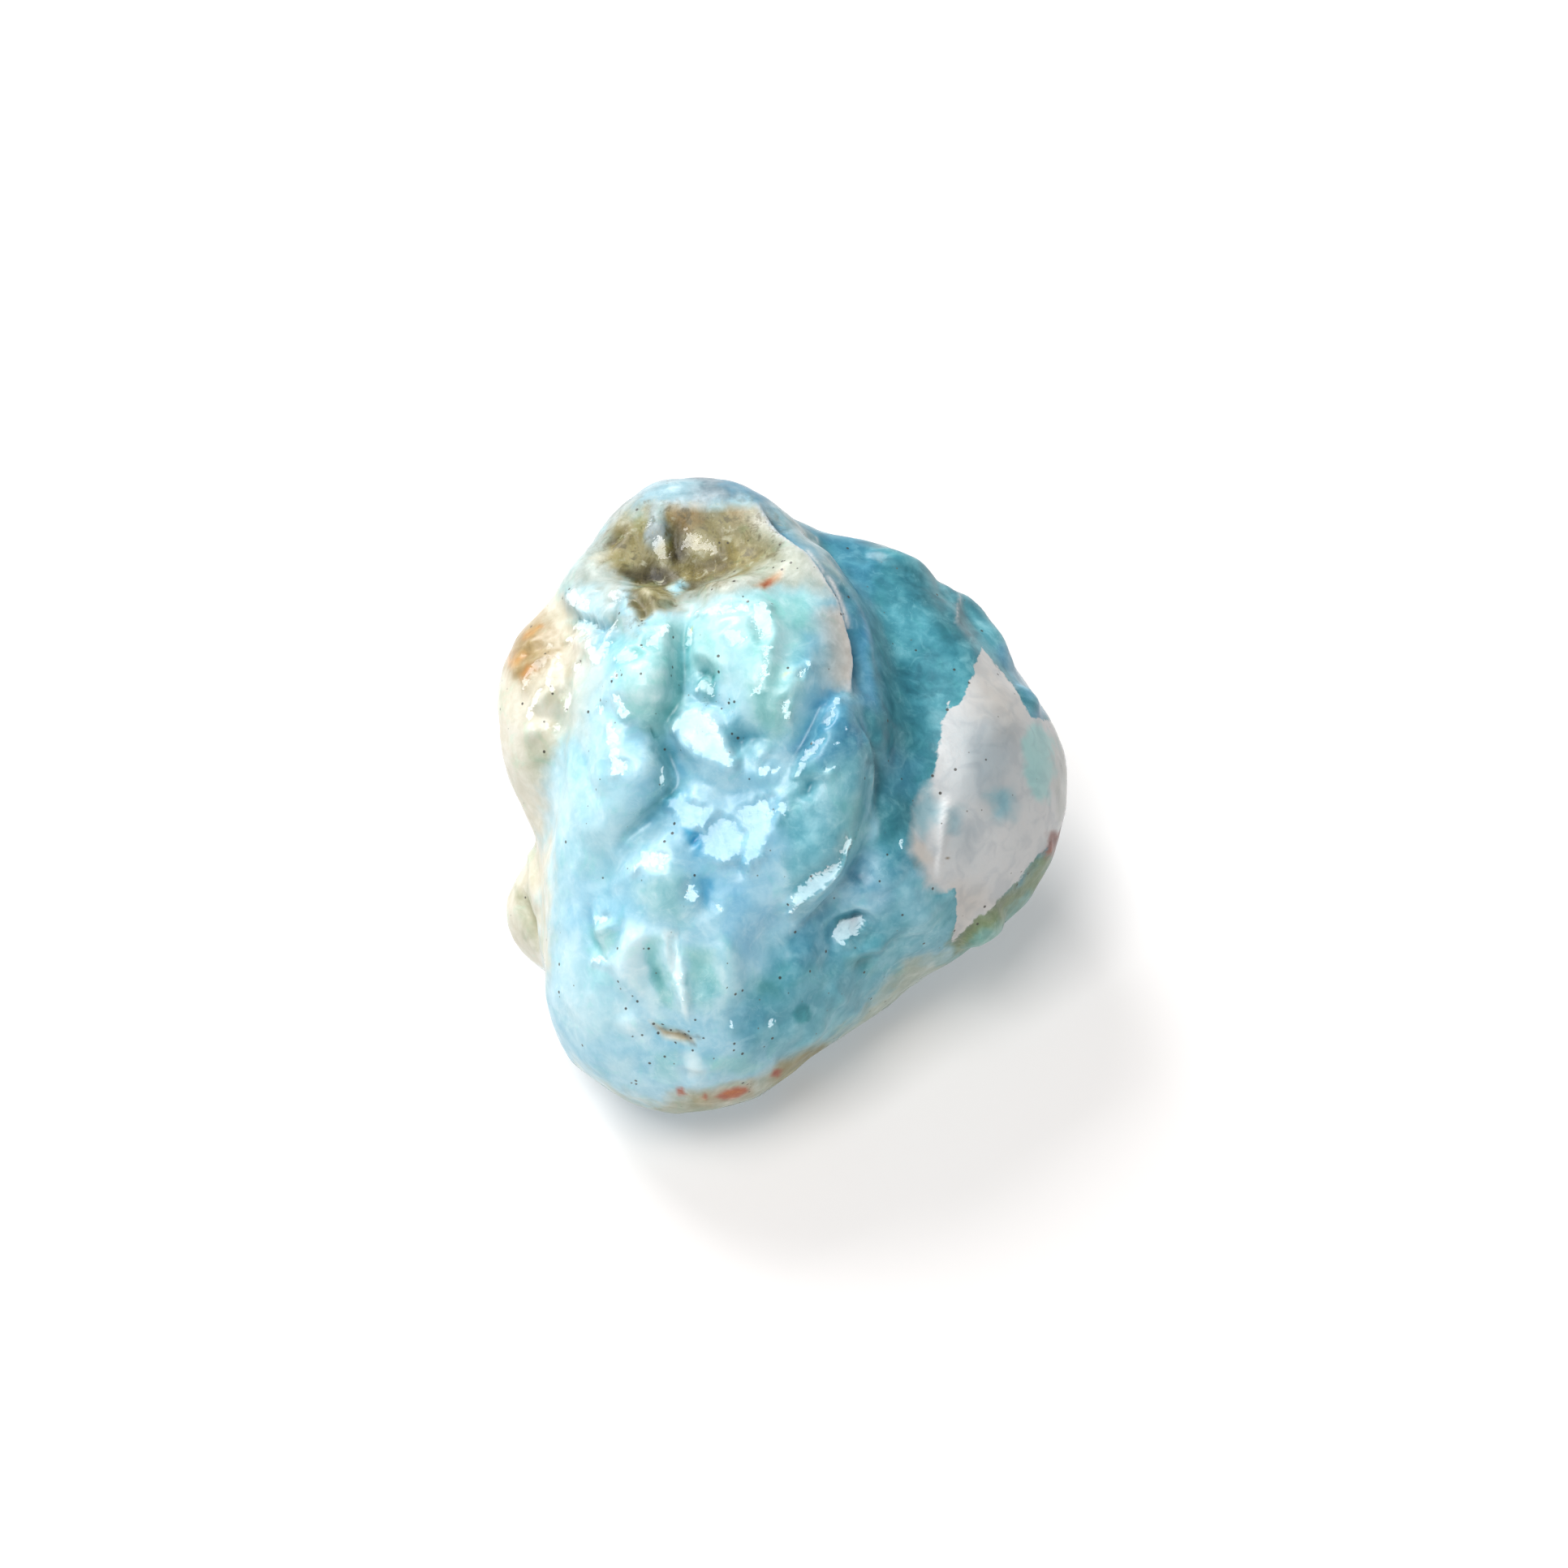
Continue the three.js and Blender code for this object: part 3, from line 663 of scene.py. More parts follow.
# Round the back the sky blue goes on, between deep blue from the flank and cream from the left side.
paint_patches(back_x, back_y, eased(back_facing, -0.3, 0.1), (
    (MILK, 0.5, 2, [(-6, 12), (2, 14), (6, 6), (0, 0), (-5, 4)]),
    (DEEP_SEA, 0.9, 2.5, [(-20, 18), (-8, 18), (-5, 8), (-9, -2), (-20, -6)]),
    (DEEP_BLUE, 0.7, 1.5, [(-7, 16), (-2, 16), (-3, 8), (-6, 6)]),
    (CREAM, 0.95, 1.2, [(20, 8), (11, 9), (9, 3), (11, -4), (9, -12), (20, -12)]),
    (TAN, 0.6, 1.2, [(14, 8), (11, 7), (11, 3), (13, 2)]),
    (PALE_OLIVE, 0.8, 1.5, [(-14, -6), (-4, -7), (4, -8), (10, -12), (-10, -16)]),
    (GREEN, 0.6, 1, [(-15, -5), (-9, -5), (-8, -8), (-14, -9)]),
))

paint_patches(front_x, front_y, in_front, (
    # the left of the front and the foot
    (PALE_BLUE, 0.9, 1.2, [
        (-11, 4), (-9.4, 8), (-7, 8.4), (-6.6, 3), (-6.4, -2), (-7.6, -5), (-10.8, -8), (-11, -2)
    ]),
    (MILK, 0.6, 0.8, [(-10.6, 1.6), (-9.6, 1.6), (-9.8, -2.4), (-10.9, -2.8)]),
    (SKY, 0.9, 1.2, [
        (-10.8, -8), (-6, -6), (2, -6), (2.4, -9), (-0.6, -11), (-1, -14), (-4, -17), (-9, -15)
    ]),
    (PALE_BLUE, 0.7, 0.8, [(-10.4, -8.6), (-7, -9.4), (-6.4, -13), (-8.6, -13.6), (-10.2, -11)]),
    (MID_BLUE, 0.6, 0.7, [(-9.6, -4.4), (-8.3, -4.6), (-8, -6.4), (-9.2, -7.4), (-9.9, -6.4)]),
    (MILK, 0.55, 0.5, [(-6.6, -6.8), (-5.8, -7), (-5.4, -8.6), (-5.6, -10.6), (-6.6, -10.4), (-6.9, -8.6)]),
    (MILK, 0.35, 0.9, [(-10, -8), (-6, -7), (-5.5, -12), (-8.6, -13.6), (-10, -11)]),
    (TEAL, 0.75, 0.5, [(-5.4, -7.6), (-4.4, -7.6), (-4, -10.4), (-3.4, -12), (-5, -11.4)]),
    # The pale streak down the foot: partly milky rock, partly a painted highlight.
    (MILK, 0.9, 0.35, [
        (-4.4, -7.4), (-3.5, -7.3), (-3.4, -9.4), (-3, -11), (-3, -12.6), (-3.6, -10.9), (-4.2, -9)
    ]),
    (TEAL, 0.8, 0.5, [(-3.2, -8.4), (-1.6, -8.6), (-1.3, -10.4), (-2, -12), (-3, -11.4)]),
    (TEAL, 0.3, 0.6, [(-1.2, -7.6), (-0.4, -8), (-0.2, -10.6), (-1.2, -12.4), (-1.6, -10)]),
    (MILK, 0.5, 0.6, [(-7, -11.6), (-5.6, -12.4), (-5.4, -14), (-6.6, -13.4)]),
    (TEAL, 0.6, 0.4, [(-2, -14.6), (0.5, -14.2), (1.5, -15), (-0.5, -15.6), (-1.6, -15.4)]),
    (TEAL, 0.5, 0.4, [(-4.8, -14.4), (-3.8, -14.2), (-3.8, -15.8), (-5, -15.6)]),
    (MILK, 0.5, 0.5, [(-8.2, -14.2), (-6.2, -14.4), (-5.6, -16), (-7.2, -15.6)]),
    (MILK, 0.7, 0.3, [
        (-6.3, -8), (-5.6, -7.2), (-5, -7.6), (-5.4, -8.8), (-5.2, -10.2), (-4.6, -11.6), (-3.8, -12.6),
        (-4.6, -12.5), (-5.8, -11.2), (-6.4, -9.8)
    ]),
    (DARK_TEAL, 0.45, 0.35, [
        (-5.1, -9.2), (-4.5, -9.4), (-4.2, -11), (-3.7, -12), (-4.4, -11.7), (-5, -10.5)
    ]),
    (SEA, 0.4, 0.4, [(-3.1, -10.2), (-2, -10.2), (-1.7, -11.4), (-2.6, -12), (-3.1, -11.4)]),
    (MILK, 0.5, 0.3, [(-1.9, -8.4), (-1, -9.6), (-0.9, -11.2), (-1.5, -12.4), (-1.3, -11), (-1.4, -9.8)]),
    (TEAL, 0.6, 0.3, [(-8.6, -7.2), (-7.4, -7.2), (-6.9, -8.2), (-7.6, -9), (-8.6, -8.4)]),
    # the sky-blue valley down the middle, and the teal of the lumps above
    (MID_BLUE, 0.7, 0.9, [
        (-4.4, 0.2), (1.6, 0.6), (2.6, -2.4), (2, -6.4), (0, -9), (-1, -6), (-3.4, -5), (-4, -2)
    ]),
    (PALE_BLUE, 0.7, 0.7, [(0, -4.4), (2.2, -3.6), (2.4, -6.8), (1, -9), (-0.4, -8)]),
    (BRIGHT_BLUE, 0.35, 0.7, [(-1, -4.5), (1.8, -4), (2, -7), (0.6, -9), (-0.8, -8)]),
    (TEAL, 0.5, 0.8, [(-4.6, -4.2), (-3, -4.4), (-3.2, -7), (-5, -6.6), (-6, -5)]),
    (TEAL, 0.85, 0.8, [(-7, 8.4), (-4, 10), (-3.2, 9.8), (-3.3, 4.8), (-5, 3.4), (-6.8, 4.6)]),
    (TEAL, 0.85, 1, [
        (-3, 10.4), (0, 11.2), (3.8, 11.6), (4.4, 8), (4, 4), (1.6, 2.8), (0.4, 4.6), (-1, 6.4), (-3, 7)
    ]),
    (MILK, 0.5, 0.5, [(1.5, 9.6), (2.8, 9.4), (2.8, 7.6), (1.6, 7.4)]),
    # The darker teal laid along the groove between the lumps, in the pit under the brow and down the channel
    # below is painted shade in these hollows, over the rock's own teal.
    (DARK_TEAL, 0.35, 0.4, [
        (-5.6, 3.4), (-5, 4), (-3.6, 5.2), (-3.4, 7.4), (-3.1, 7.4), (-3.2, 4.8), (-4.6, 3.4)
    ]),
    (DARK_TEAL, 0.35, 0.6, [(0.8, 6.2), (2, 6.4), (2.6, 4.2), (1, 4.2)]),
    (SEA, 0.3, 0.8, [(2.8, 10), (3.8, 10), (4, 7.4), (3.2, 6.4), (2.6, 8)]),
    (DARK_TEAL, 0.6, 0.35, [(-2.4, 7), (-1.5, 6.9), (-1.2, 6.2), (-1.5, 5.2), (-2.2, 5.3), (-2.4, 6.2)]),
    (PALE_BLUE, 0.6, 0.6, [(-1.4, 9), (0.3, 8.8), (0.3, 5.4), (1, 3.4), (-0.4, 4), (-1, 6)]),
    (MILK, 0.6, 0.8, [(-2.6, 10.6), (0.6, 10.9), (1.2, 9.6), (-1.6, 9.4)]),
    (DARK_TEAL, 0.25, 0.5, [
        (-4.2, 9.2), (-3.1, 9.6), (-3, 7), (-1.4, 7), (-1.4, 6), (-2.7, 5.6), (-3.6, 4.8), (-4.9, 3.2),
        (-5.6, 3.6)
    ]),
    (DARK_TEAL, 0.55, 0.6, [
        (-5.4, 3.6), (-4.4, 3.8), (-3.6, 1.4), (-3.6, 0.2), (-4.8, -0.8), (-6.8, -2.6), (-6.4, -1.6),
        (-4.6, 0.4)
    ]),
    (SEA, 0.6, 0.6, [(-1.2, 4), (1.2, 3.8), (0.6, 2.2), (-0.6, 1.8)]),
    (OCEAN, 0.85, 0.25, [(-3.5, -1.9), (-2.3, -1.9), (-2.1, -3), (-3, -2.9)]),
    (OCEAN, 0.5, 0.35, [(-2.6, -4.4), (-1.8, -4.6), (-1.6, -6.2), (-2.4, -5.8)]),
    # the folded lobe and what lies under it
    (SEA, 0.85, 0.6, [
        (2.6, 1), (4.4, 5), (6.2, 5.4), (7.2, 3), (7.3, 0), (6.9, -2.4), (5.6, -4.2), (3.2, -6.6),
        (2.4, -4.6), (2.2, -1)
    ]),
    (DEEP_BLUE, 1, 0.5, [(3.2, 2), (4.6, 5.2), (6.1, 5.4), (6.8, 3.2), (5.6, 2), (4.2, 1.6)]),
    (BRIGHT_BLUE, 0.45, 0.8, [(3.4, 9), (4.4, 9), (4.6, 6), (5.4, 5.4), (4.4, 4.4), (3, 2.6), (2.8, 5)]),
    (PALE_BLUE, 0.45, 0.6, [(4.2, 1), (5.6, 0.8), (5.8, -1), (4.6, -1.4)]),
    (TEAL, 0.4, 0.6, [(5.6, 0), (6.6, 0), (6.6, -2.6), (5.8, -3.6), (5.2, -2)]),
    (SEA, 0.85, 0.9, [
        (2.6, -8), (5, -5.8), (8.6, -7.6), (9.6, -9.4), (7, -12.6), (4, -14.8), (0.6, -14.2), (-0.6, -13),
        (0, -10.6)
    ]),
    (DEEP_BLUE, 0.55, 0.6, [(2.8, -7.6), (5, -5.6), (5.6, -8.6), (4, -9.6), (2.8, -9.2)]),
    (DEEP_SEA, 0.3, 0.4, [(5, -6.8), (6.4, -6.1), (7.6, -6.8), (7.3, -8), (5.2, -8.1)]),
    (DARK_TEAL, 0.5, 0.4, [(5.6, -8.9), (7.4, -8.8), (7.4, -9.6), (6, -9.6)]),
    (DARK_TEAL, 0.5, 0.5, [(1, -10), (2, -10.2), (2.2, -11.2), (1, -11.2)]),
    (DEEP_BLUE, 0.4, 0.5, [(-0.8, -12), (1, -11.4), (1.6, -12.4), (0.2, -13.6)]),
    # the flank
    (DEEP_SEA, 1, 0.25, [
        (1.8, 17), (7, 16), (13, 12), (20, 4), (20, -6), (16, -6), (11.8, -8.6), (9.6, -3.6), (7.4, -3),
        (7.5, 0), (7, 3), (6.5, 5.6), (6.4, 8), (6, 10.6), (5.2, 12.4), (4.3, 13.6), (2.6, 15)
    ]),
    (DEEP_BLUE, 0.55, 0.6, [
        (2.4, 16.4), (6.6, 14.8), (7.4, 13), (7.2, 9), (7.8, 5), (6.7, 4.6), (6.6, 8), (6, 11.6),
        (4.8, 13.8)
    ]),
    (BRIGHT_BLUE, 0.5, 0.4, [(6.3, 10), (7, 9.6), (7.4, 5.2), (6.5, 5)]),
    (DEEP_BLUE, 0.5, 0.7, [(7.8, 2.6), (10, 2), (9.6, 0.2), (8, 0)]),
    (SEA, 0.8, 0.6, [
        (6.8, -2.6), (9, -2), (9.6, -4.4), (12, -5), (12, -8.4), (8.6, -9.2), (7, -8), (8.2, -5.6)
    ]),
    (DEEP_BLUE, 0.5, 0.8, [(6.6, -3.2), (8.8, -2.4), (9.6, -4.2), (8, -6), (6, -5.8), (5.4, -5.4)]),
    (SKY, 0.3, 0.6, [(8.8, -4.6), (9.8, -4.8), (10.6, -5.4), (9.8, -7.4), (8.8, -6.6)]),
    (SEA, 0.8, 0.4, [(12.8, 10.2), (14.6, 9.4), (15.4, 7.6), (14.2, 7.4), (13.2, 8.4)]),
    (DEEP_BLUE, 0.9, 0.3, [(14.6, 9), (17.4, 5), (16.6, 4.2), (15.4, 6), (14.2, 7.6)]),
    (SEA, 0.75, 0.8, [(7.8, 10.4), (10.4, 10.2), (10.8, 8.4), (8.4, 8)]),
    (DEEP_SEA * 0.65, 0.8, 0.5, [(8.4, 13.2), (10, 12.6), (12.4, 10), (12.6, 8.4), (11.2, 9), (9.4, 11.4)]),
    # the crown
    (CAP_BLUE, 0.95, 0.4, [
        (-8, 14), (-6, 18.6), (2, 18.6), (1.9, 15.7), (0, 16.6), (-3, 16.2), (-5.6, 16), (-7, 15.2)
    ]),
    (PALE_BLUE, 0.6, 0.6, [(-6.6, 15.8), (-5.4, 17.4), (-3.4, 17.8), (-2.4, 17), (-4, 16.4)]),
    (DEEP_BLUE, 0.7, 0.4, [(-1.4, 17.3), (0, 18.4), (1.9, 16.4), (1.6, 15.8), (0.4, 16.6)]),
    (DEEP_BLUE * 0.8, 0.8, 0.4, [(0.2, 17.6), (1.2, 17), (1.6, 15.9), (0.6, 16.3), (-0.6, 16.9)]),
    (LIP, 0.9, 0.8, [(-11, 10), (-8.6, 14.6), (-6.2, 16.6), (-5.8, 12.4), (-7, 10.4), (-6, 9)]),
    (LIP, 0.9, 0.6, [
        (-6.6, 10), (-3.4, 10.4), (-1, 11), (2.2, 11.6), (3.4, 11.8), (5.5, 11), (5.1, 12.6), (3, 14.9),
        (1.6, 16.2), (-2, 13)
    ]),
    (PALE_OLIVE, 0.2, 0.6, [
        (3, 14), (4.4, 12.6), (5.3, 10.6), (5.8, 8), (5.8, 5.7), (5.2, 5.8), (4.6, 7), (4.5, 9.6),
        (3.6, 11.4), (2, 12.8)
    ]),
    (PALE_OLIVE, 0.6, 0.8, [(0, 13), (2, 14.8), (3.6, 13.6), (3.2, 12.2), (1, 11.9), (-2, 11.4)]),
    (OLIVE, 0.95, 0.5, HOLLOW),
    (TAN, 0.85, 0.5, [(-0.6, 16), (1, 16), (1.7, 15.1), (0.6, 14.8), (-0.4, 15.2)]),
    (TAN, 0.9, 0.4, [(-4.2, 16.1), (-2, 16.2), (-2.2, 15.4), (-3.8, 15)]),
    (DARK_OLIVE, 0.8, 0.35, [
        (-7.2, 12.9), (-5.6, 12.7), (-4.6, 12.9), (-3.4, 12.4), (-3.6, 11.8), (-5.4, 12), (-6, 12.2)
    ]),
    (DARK_OLIVE, 0.7, 0.4, [(-4, 15.2), (-3.6, 15.3), (-3, 13.2), (-3.8, 13.2)]),
    (DARK_OLIVE, 0.55, 0.5, [(-7.8, 14), (-7.2, 14.8), (-6.2, 14.6), (-6.6, 13.6)]),
    (DARK_OLIVE, 0.6, 0.3, [(-6.4, 11.2), (-5.4, 11.4), (-4.8, 10.8), (-5.8, 10.2)]),
    (DARK_OLIVE, 0.6, 0.25, [(-3, 12), (-0.8, 12.3), (-0.8, 11.9), (-2.4, 11.6), (-3.2, 11.2)]),
    (SLATE, 0.8, 0.3, [(-5.1, 15.9), (-4.3, 15.8), (-4.2, 14.2), (-4.7, 13.6), (-5.2, 14.4)]),
    # the left side
    (CREAM, 0.95, 0.7, [
        (-15, 11), (-10.6, 11), (-9, 10), (-8.6, 8), (-10, 5.4), (-10.2, 3), (-11, 1.4), (-10.9, -2),
        (-10.8, -9.4), (-12, -11), (-15, -9)
    ]),
    (GREEN, 0.45, 0.8, [(-11.8, 3), (-10.4, 3.2), (-11, 0.8), (-12, 1)]),
    (TAN, 0.95, 0.6, [(-13, 9.4), (-11.4, 10.4), (-10, 9), (-9.6, 7.8), (-11, 7.2), (-12, 6), (-13.2, 7)]),
    (ORANGE, 0.5, 0.3, [(-12.3, 9.1), (-11.2, 9.8), (-11, 9.4), (-12, 8.9)]),
    (ORANGE, 0.5, 0.3, [(-13.2, 7.6), (-12.3, 8.1), (-12.3, 7.6), (-13, 7.3)]),
    (ORANGE, 0.6, 0.3, [(-12.3, 6.6), (-11.9, 7.2), (-11.6, 7.1), (-11.8, 6.4)]),
    (WHITE, 0.4, 0.6, [(-9.8, 9), (-8.6, 8.8), (-8.4, 7.6), (-9.4, 6.6)]),
    (CREAM, 0.6, 0.8, [(-10.6, 9), (-8.4, 9.4), (-8, 6.6), (-9, 3.2), (-10.4, 3)]),
    (GREEN, 0.35, 0.4, [
        (-12.9, -4.8), (-12.2, -4.9), (-11.6, -6.4), (-11.3, -8.6), (-11.7, -8.6), (-12.2, -6.8)
    ]),
    (PALE_BLUE, 0.7, 0.5, [(-9.7, 11.6), (-7.8, 11.6), (-7.4, 9.6), (-8.8, 9), (-9.6, 10)]),
    # the rims underneath
    (PALE_OLIVE, 0.8, 0.6, [
        (-9.4, -14.8), (-7.5, -16.1), (-5.5, -17), (-3, -16.4), (0, -16.2), (3, -14.8), (5.2, -13.4),
        (6.6, -12.2), (8, -10.4), (9.2, -9.3), (11.4, -8.7), (14, -12), (4, -20), (-12, -20)
    ]),
    (OLIVE, 0.4, 0.5, [
        (-5, -17.2), (-3.4, -16.2), (-1, -16.9), (1.4, -15.9), (4, -14.4), (3, -16), (-3, -18)
    ]),
    (GREEN, 0.95, 0.5, [
        (11.6, -8), (13.2, -6.7), (14.8, -5.4), (16, -4), (17, -3), (17.4, -4), (15, -8), (12, -10)
    ]),
    (DARK_TEAL, 0.6, 0.3, [
        (10.5, -9), (12, -8.7), (14, -7.2), (15.8, -5.2), (16.8, -5.4), (14.5, -8.4), (12, -10)
    ]),
    (OLIVE, 0.5, 0.4, [(12, -8.2), (13, -7.2), (15, -5.6), (15.2, -5), (13.4, -6), (12, -7.4)]),
    RIM_RUST,
))

weathered = eased(inside(front_x, front_y, HOLLOW), -1.2, 0.5) * in_front

# Small marks with crisper edges: rust in the crown and at the toe, the pebble, a round teal pool.
plain_x, plain_y, _ = on_board(places_mm + 0.10 * wander, looks)
paint_patches(plain_x, plain_y, in_front, (
    (PALE_BLUE, 0.9, 0.2, [(-4.3, 11.5), (-3.4, 12), (-3, 11.7), (-3.7, 11.1)]),
    (ORANGE, 0.6, 0.3, [(0.6, 11.6), (1.4, 12.1), (2.2, 12.5), (2.1, 12), (1.2, 11.5)]),
    (RUST, 0.85, 0.15, [(1, 11.7), (1.4, 12), (1.8, 12.1), (1.6, 11.75), (1.2, 11.55)]),
    (DEEP_TEAL, 0.9, 0.12, [
        (2.75, -12.1), (2.95, -11.7), (3.3, -11.55), (3.7, -11.7), (3.85, -12.1), (3.7, -12.5),
        (3.3, -12.65), (2.95, -12.5)
    ]),
    # The pale streak down the foot: partly the rock's milky colour, partly a painted highlight along its
    # crest.
    (MILK * 1.15, 0.85, 0.12, [
        (-4.3, -7.5), (-3.65, -7.4), (-3.45, -9.2), (-3.15, -10.8), (-3, -12.5), (-3.3, -12),
        (-3.55, -10.8), (-4.1, -9.4)
    ]),
    (MILK, 0.9, 0.3, [(-3.3, -14.4), (-2.6, -14.2), (-2, -14.8), (-2.2, -15.6), (-3, -15.6)]),
    (PALE_OLIVE * 0.9, 0.7, 0.3, [
        (-4.2, -16.4), (-1.6, -16.2), (0.8, -15.6), (2.4, -14.8), (3.4, -15), (1.4, -16.4), (-2, -17.1)
    ]),
    (OLIVE, 0.9, 0.4, [(2, -14.7), (4.4, -13.7), (5.6, -14.4), (3.4, -17), (1.6, -16.4)]),
    (OLIVE, 0.6, 0.3, [(-3, -16.6), (-2, -16.4), (-1.6, -17.2), (-2.8, -17.3)]),
    (TAN, 0.6, 0.3, [(-2.6, -16.9), (-1.2, -16.2), (0.6, -15.8), (0.6, -16.6), (-1.2, -17.1)]),
    (RUST, 1, 0.12, [(-1.5, -16.7), (-0.9, -16.3), (0.1, -16.1), (0.4, -16.3), (-0.3, -16.7), (-1, -16.9)]),
    (RUST, 0.9, 0.1, [(-2.3, -16.7), (-2.1, -16.5), (-1.9, -16.7), (-2.1, -16.9)]),
    (RUST, 0.95, 0.12, [(1.6, -15.6), (1.8, -15.2), (2.2, -15.2), (2, -15.7)]),
    (RUST, 0.9, 0.12, [(-3.6, -16.2), (-3.3, -16.1), (-3.1, -16.5), (-3.5, -16.6)]),
    (CREAM, 0.95, 0.2, [
        (-5.1, -12.5), (-4.4, -12.9), (-3.2, -13.1), (-2.7, -13.6), (-3.2, -13.7), (-4.5, -13.3)
    ]),
    (TAN, 0.6, 0.15, [(-4.7, -12.9), (-3.6, -13.15), (-3.2, -13.45), (-4.3, -13.2)]),
))

# The lip's cream runs right up to the ridge's edge, and the flank's deep blue begins beside it. Thin
# white lines are painted along the flaked edge for its glints: painted highlights.
paint_lines((
    (LIP, 0.75, 0.06, 1.0, ridge_line[:7]),
    (PINK_CREAM, 0.9, 0.06, 1.3, ridge_line[7:]),
    (DEEP_BLUE, 0.95, 1.8, 0.06, ridge_line),
    (WHITE * 1.15, 0.85, 0.13, ridge_line[:9]),
    (WHITE * 1.15, 0.8, 0.13, ridge_line[8:]),
    (WHITE * 1.3, 1, 0.16, [(4.8, 12.5), (5.35, 11.5), (5.8, 10.3), (6, 9.3)]),
    (WHITE * 1.2, 0.8, 0.13, [(3.6, 13.9), (4.3, 13.1), (4.7, 12.4)]),
    (YELLOW, 0.7, 0.22, [(-2.85, 9.2), (-2.6, 8.9)]),
    (YELLOW, 0.5, 0.2, [(2.2, 6.6), (2.3, 6.2)]),
    (DARK_OLIVE, 0.75, 0.13, [(-3.9, -13.1), (-3.2, -13.35), (-2.6, -13.95)]),
    (DARK_OLIVE, 0.5, 0.12, [(-3.2, -13.4), (-2.6, -13.3), (-2.2, -13.6)]),
    (DARK_OLIVE, 0.4, 0.12, [(-5.2, -12.6), (-4.7, -12.9), (-4.2, -13)]),
    # Thin white lines painted on the flank's fold and near the crest: painted highlights.
    (WHITE * 1.15, 0.6, 0.13, [(7.1, 3.2), (7.15, 1.6), (7, 0.3)]),
    (WHITE, 0.55, 0.13, [(11.55, 11.2), (11.8, 10.4), (11.85, 9.4)]),
    (WHITE, 0.55, 0.13, [(4, 14.5), (4.3, 14)]),
))

# The white seam has its own paint, and an edge that the material cuts: crisp, but blurred on the left.
seam_edge = inside(plain_x, plain_y, [
    (13.3, 8.3), (12.6, 6.4), (12.2, 5.2), (11.7, 4.9), (11.4, 5.3), (11, 4), (10.8, 2), (10.6, 1.1),
    (9.8, 0), (9.5, -1.5), (9.2, -3), (9.9, -3.8), (10.2, -5.1), (11.2, -5.3), (11.9, -5), (11.9, -6.6),
    (11.7, -8), (13.3, -6.6), (15, -5), (16.2, -3.6), (17.6, -2), (19, 0), (18, 4), (16.1, 4.4),
    (15, 6.1), (14.1, 7.2),
])
turned_away = np.clip(0.02 - front_facing, 0, 1)
far_side = np.clip(places_mm[:, 1] - places_mm[:, 2] + 5.5, 0, 1)
seam_edge -= 12 * (turned_away + far_side)
seam_blur = 0.45 * brush([(9.9, 0.4), (9.4, -1.6), (9.4, -3.4), (10.4, -5.0)], 0.9, taper=0)
shell = paint.copy()
paint[:] = WHITE
paint_patches(front_x, front_y, np.ones(len(skin)), (
    (PINK_CREAM, 0.5, 1.2, [(12.6, 8), (14, 7), (15.6, 5), (15, 3), (13, 5)]),
    (PINK_CREAM, 0.5, 0.8, [(11.6, -4.8), (13, -5), (14, -6), (12, -8)]),
    (SLATE, 0.55, 1.6, [(12, 3.6), (15, 3.8), (15, 0), (12.4, 0.2)]),
    (SEA, 0.65, 0.5, [(13.4, 0.3), (15, 0.2), (15.1, -1.1), (14, -1.3)]),
    (SLATE, 0.35, 1, [(11.6, -1), (13.4, -1.4), (12.6, -3.6), (11.4, -3)]),
    (TEAL, 0.75, 0.3, [(15.7, 3.9), (16.6, 4.1), (17.2, 3.2), (17.2, 0.6), (16.6, -0.4), (15.9, -0.1)]),
    (LIP, 0.5, 0.5, [(17.2, 3.4), (19, 3), (19, -2), (17.6, -1)]),
    (SEA, 0.6, 0.4, [(9.7, -0.4), (10.5, 0.8), (11, -0.6), (10.3, -2.2), (9.6, -1.8)]),
    (SEA, 0.45, 0.4, [(11.3, -0.6), (12, -0.6), (11.8, -2), (11.2, -2)]),
    (PINK_CREAM, 0.6, 0.3, [(9.3, -2.2), (10.2, -2.4), (10.4, -3.8), (9.4, -3.4)]),
    RIM_RUST,
))
# A bright streak is painted down the seam for its glossy line of light, a painted highlight; a small brown
# spot lies beside it.
paint_lines((
    (WHITE * 1.5, 0.8, 0.18, [(10.7, -4.6), (10.9, -2.6), (11.3, 0.4)]),
    (TAN * 0.5, 0.9, 0.22, [(11.3, -3.4), (11.45, -3.5)]),
))
seam = paint.copy()

# Where specks of ore stand thickest.
SPECKS = [
    (-7.6, 5.3), (-6.8, 6.4), (-1.6, 5.25), (-1.1, 5.25), (-0.4, 3.55), (2.2, 3.6), (-5.9, 9.1),
    (-2.85, -5.85), (2.35, 12.5), (0.1, 10.6), (4.9, 11.1), (-4.3, -13), (-3.8, -13.2), (-3.1, -13.3),
    (-2.9, -13.7), (-5.1, -12.7), (-4.7, -12.9), (-3.5, -13.3), (-3.3, -13.5), (-2.6, -14), (-2.7, -13.5),
    (-6.75, -11), (-6, -11.2), (-6, -13.5), (0.2, -13.7), (-6.4, -15.7), (-0.45, -11.2), (0.1, -16),
    (-0.1, 14.6), (0.4, 14.3), (-0.4, 15), (-8.3, -6), (5.5, -3.2), (5.8, -5.6), (4.2, -13.8), (-4, -1.9),
    (-9.8, 11), (-10.4, 6), (15.2, -5), (13.4, -5.9), (12.7, -6.6), (12.8, 3.1),
]
specks = np.zeros(len(skin))
for spot in SPECKS:
    specks = np.maximum(specks, np.minimum(1.6 * brush([spot], 0.42), 1))


def keep(name, values):
    """Stores one number or one colour for each corner of the stone, for its material to read."""
    if values.ndim == 1:
        stone_mesh.attributes.new(name, "FLOAT", "POINT").data.foreach_set("value", values.astype(np.float32))
    else:
        colours = np.ones((len(values), 4), np.float32)
        colours[:, :3] = values
        stone_mesh.attributes.new(name, "FLOAT_COLOR", "POINT").data.foreach_set("color", colours.ravel())


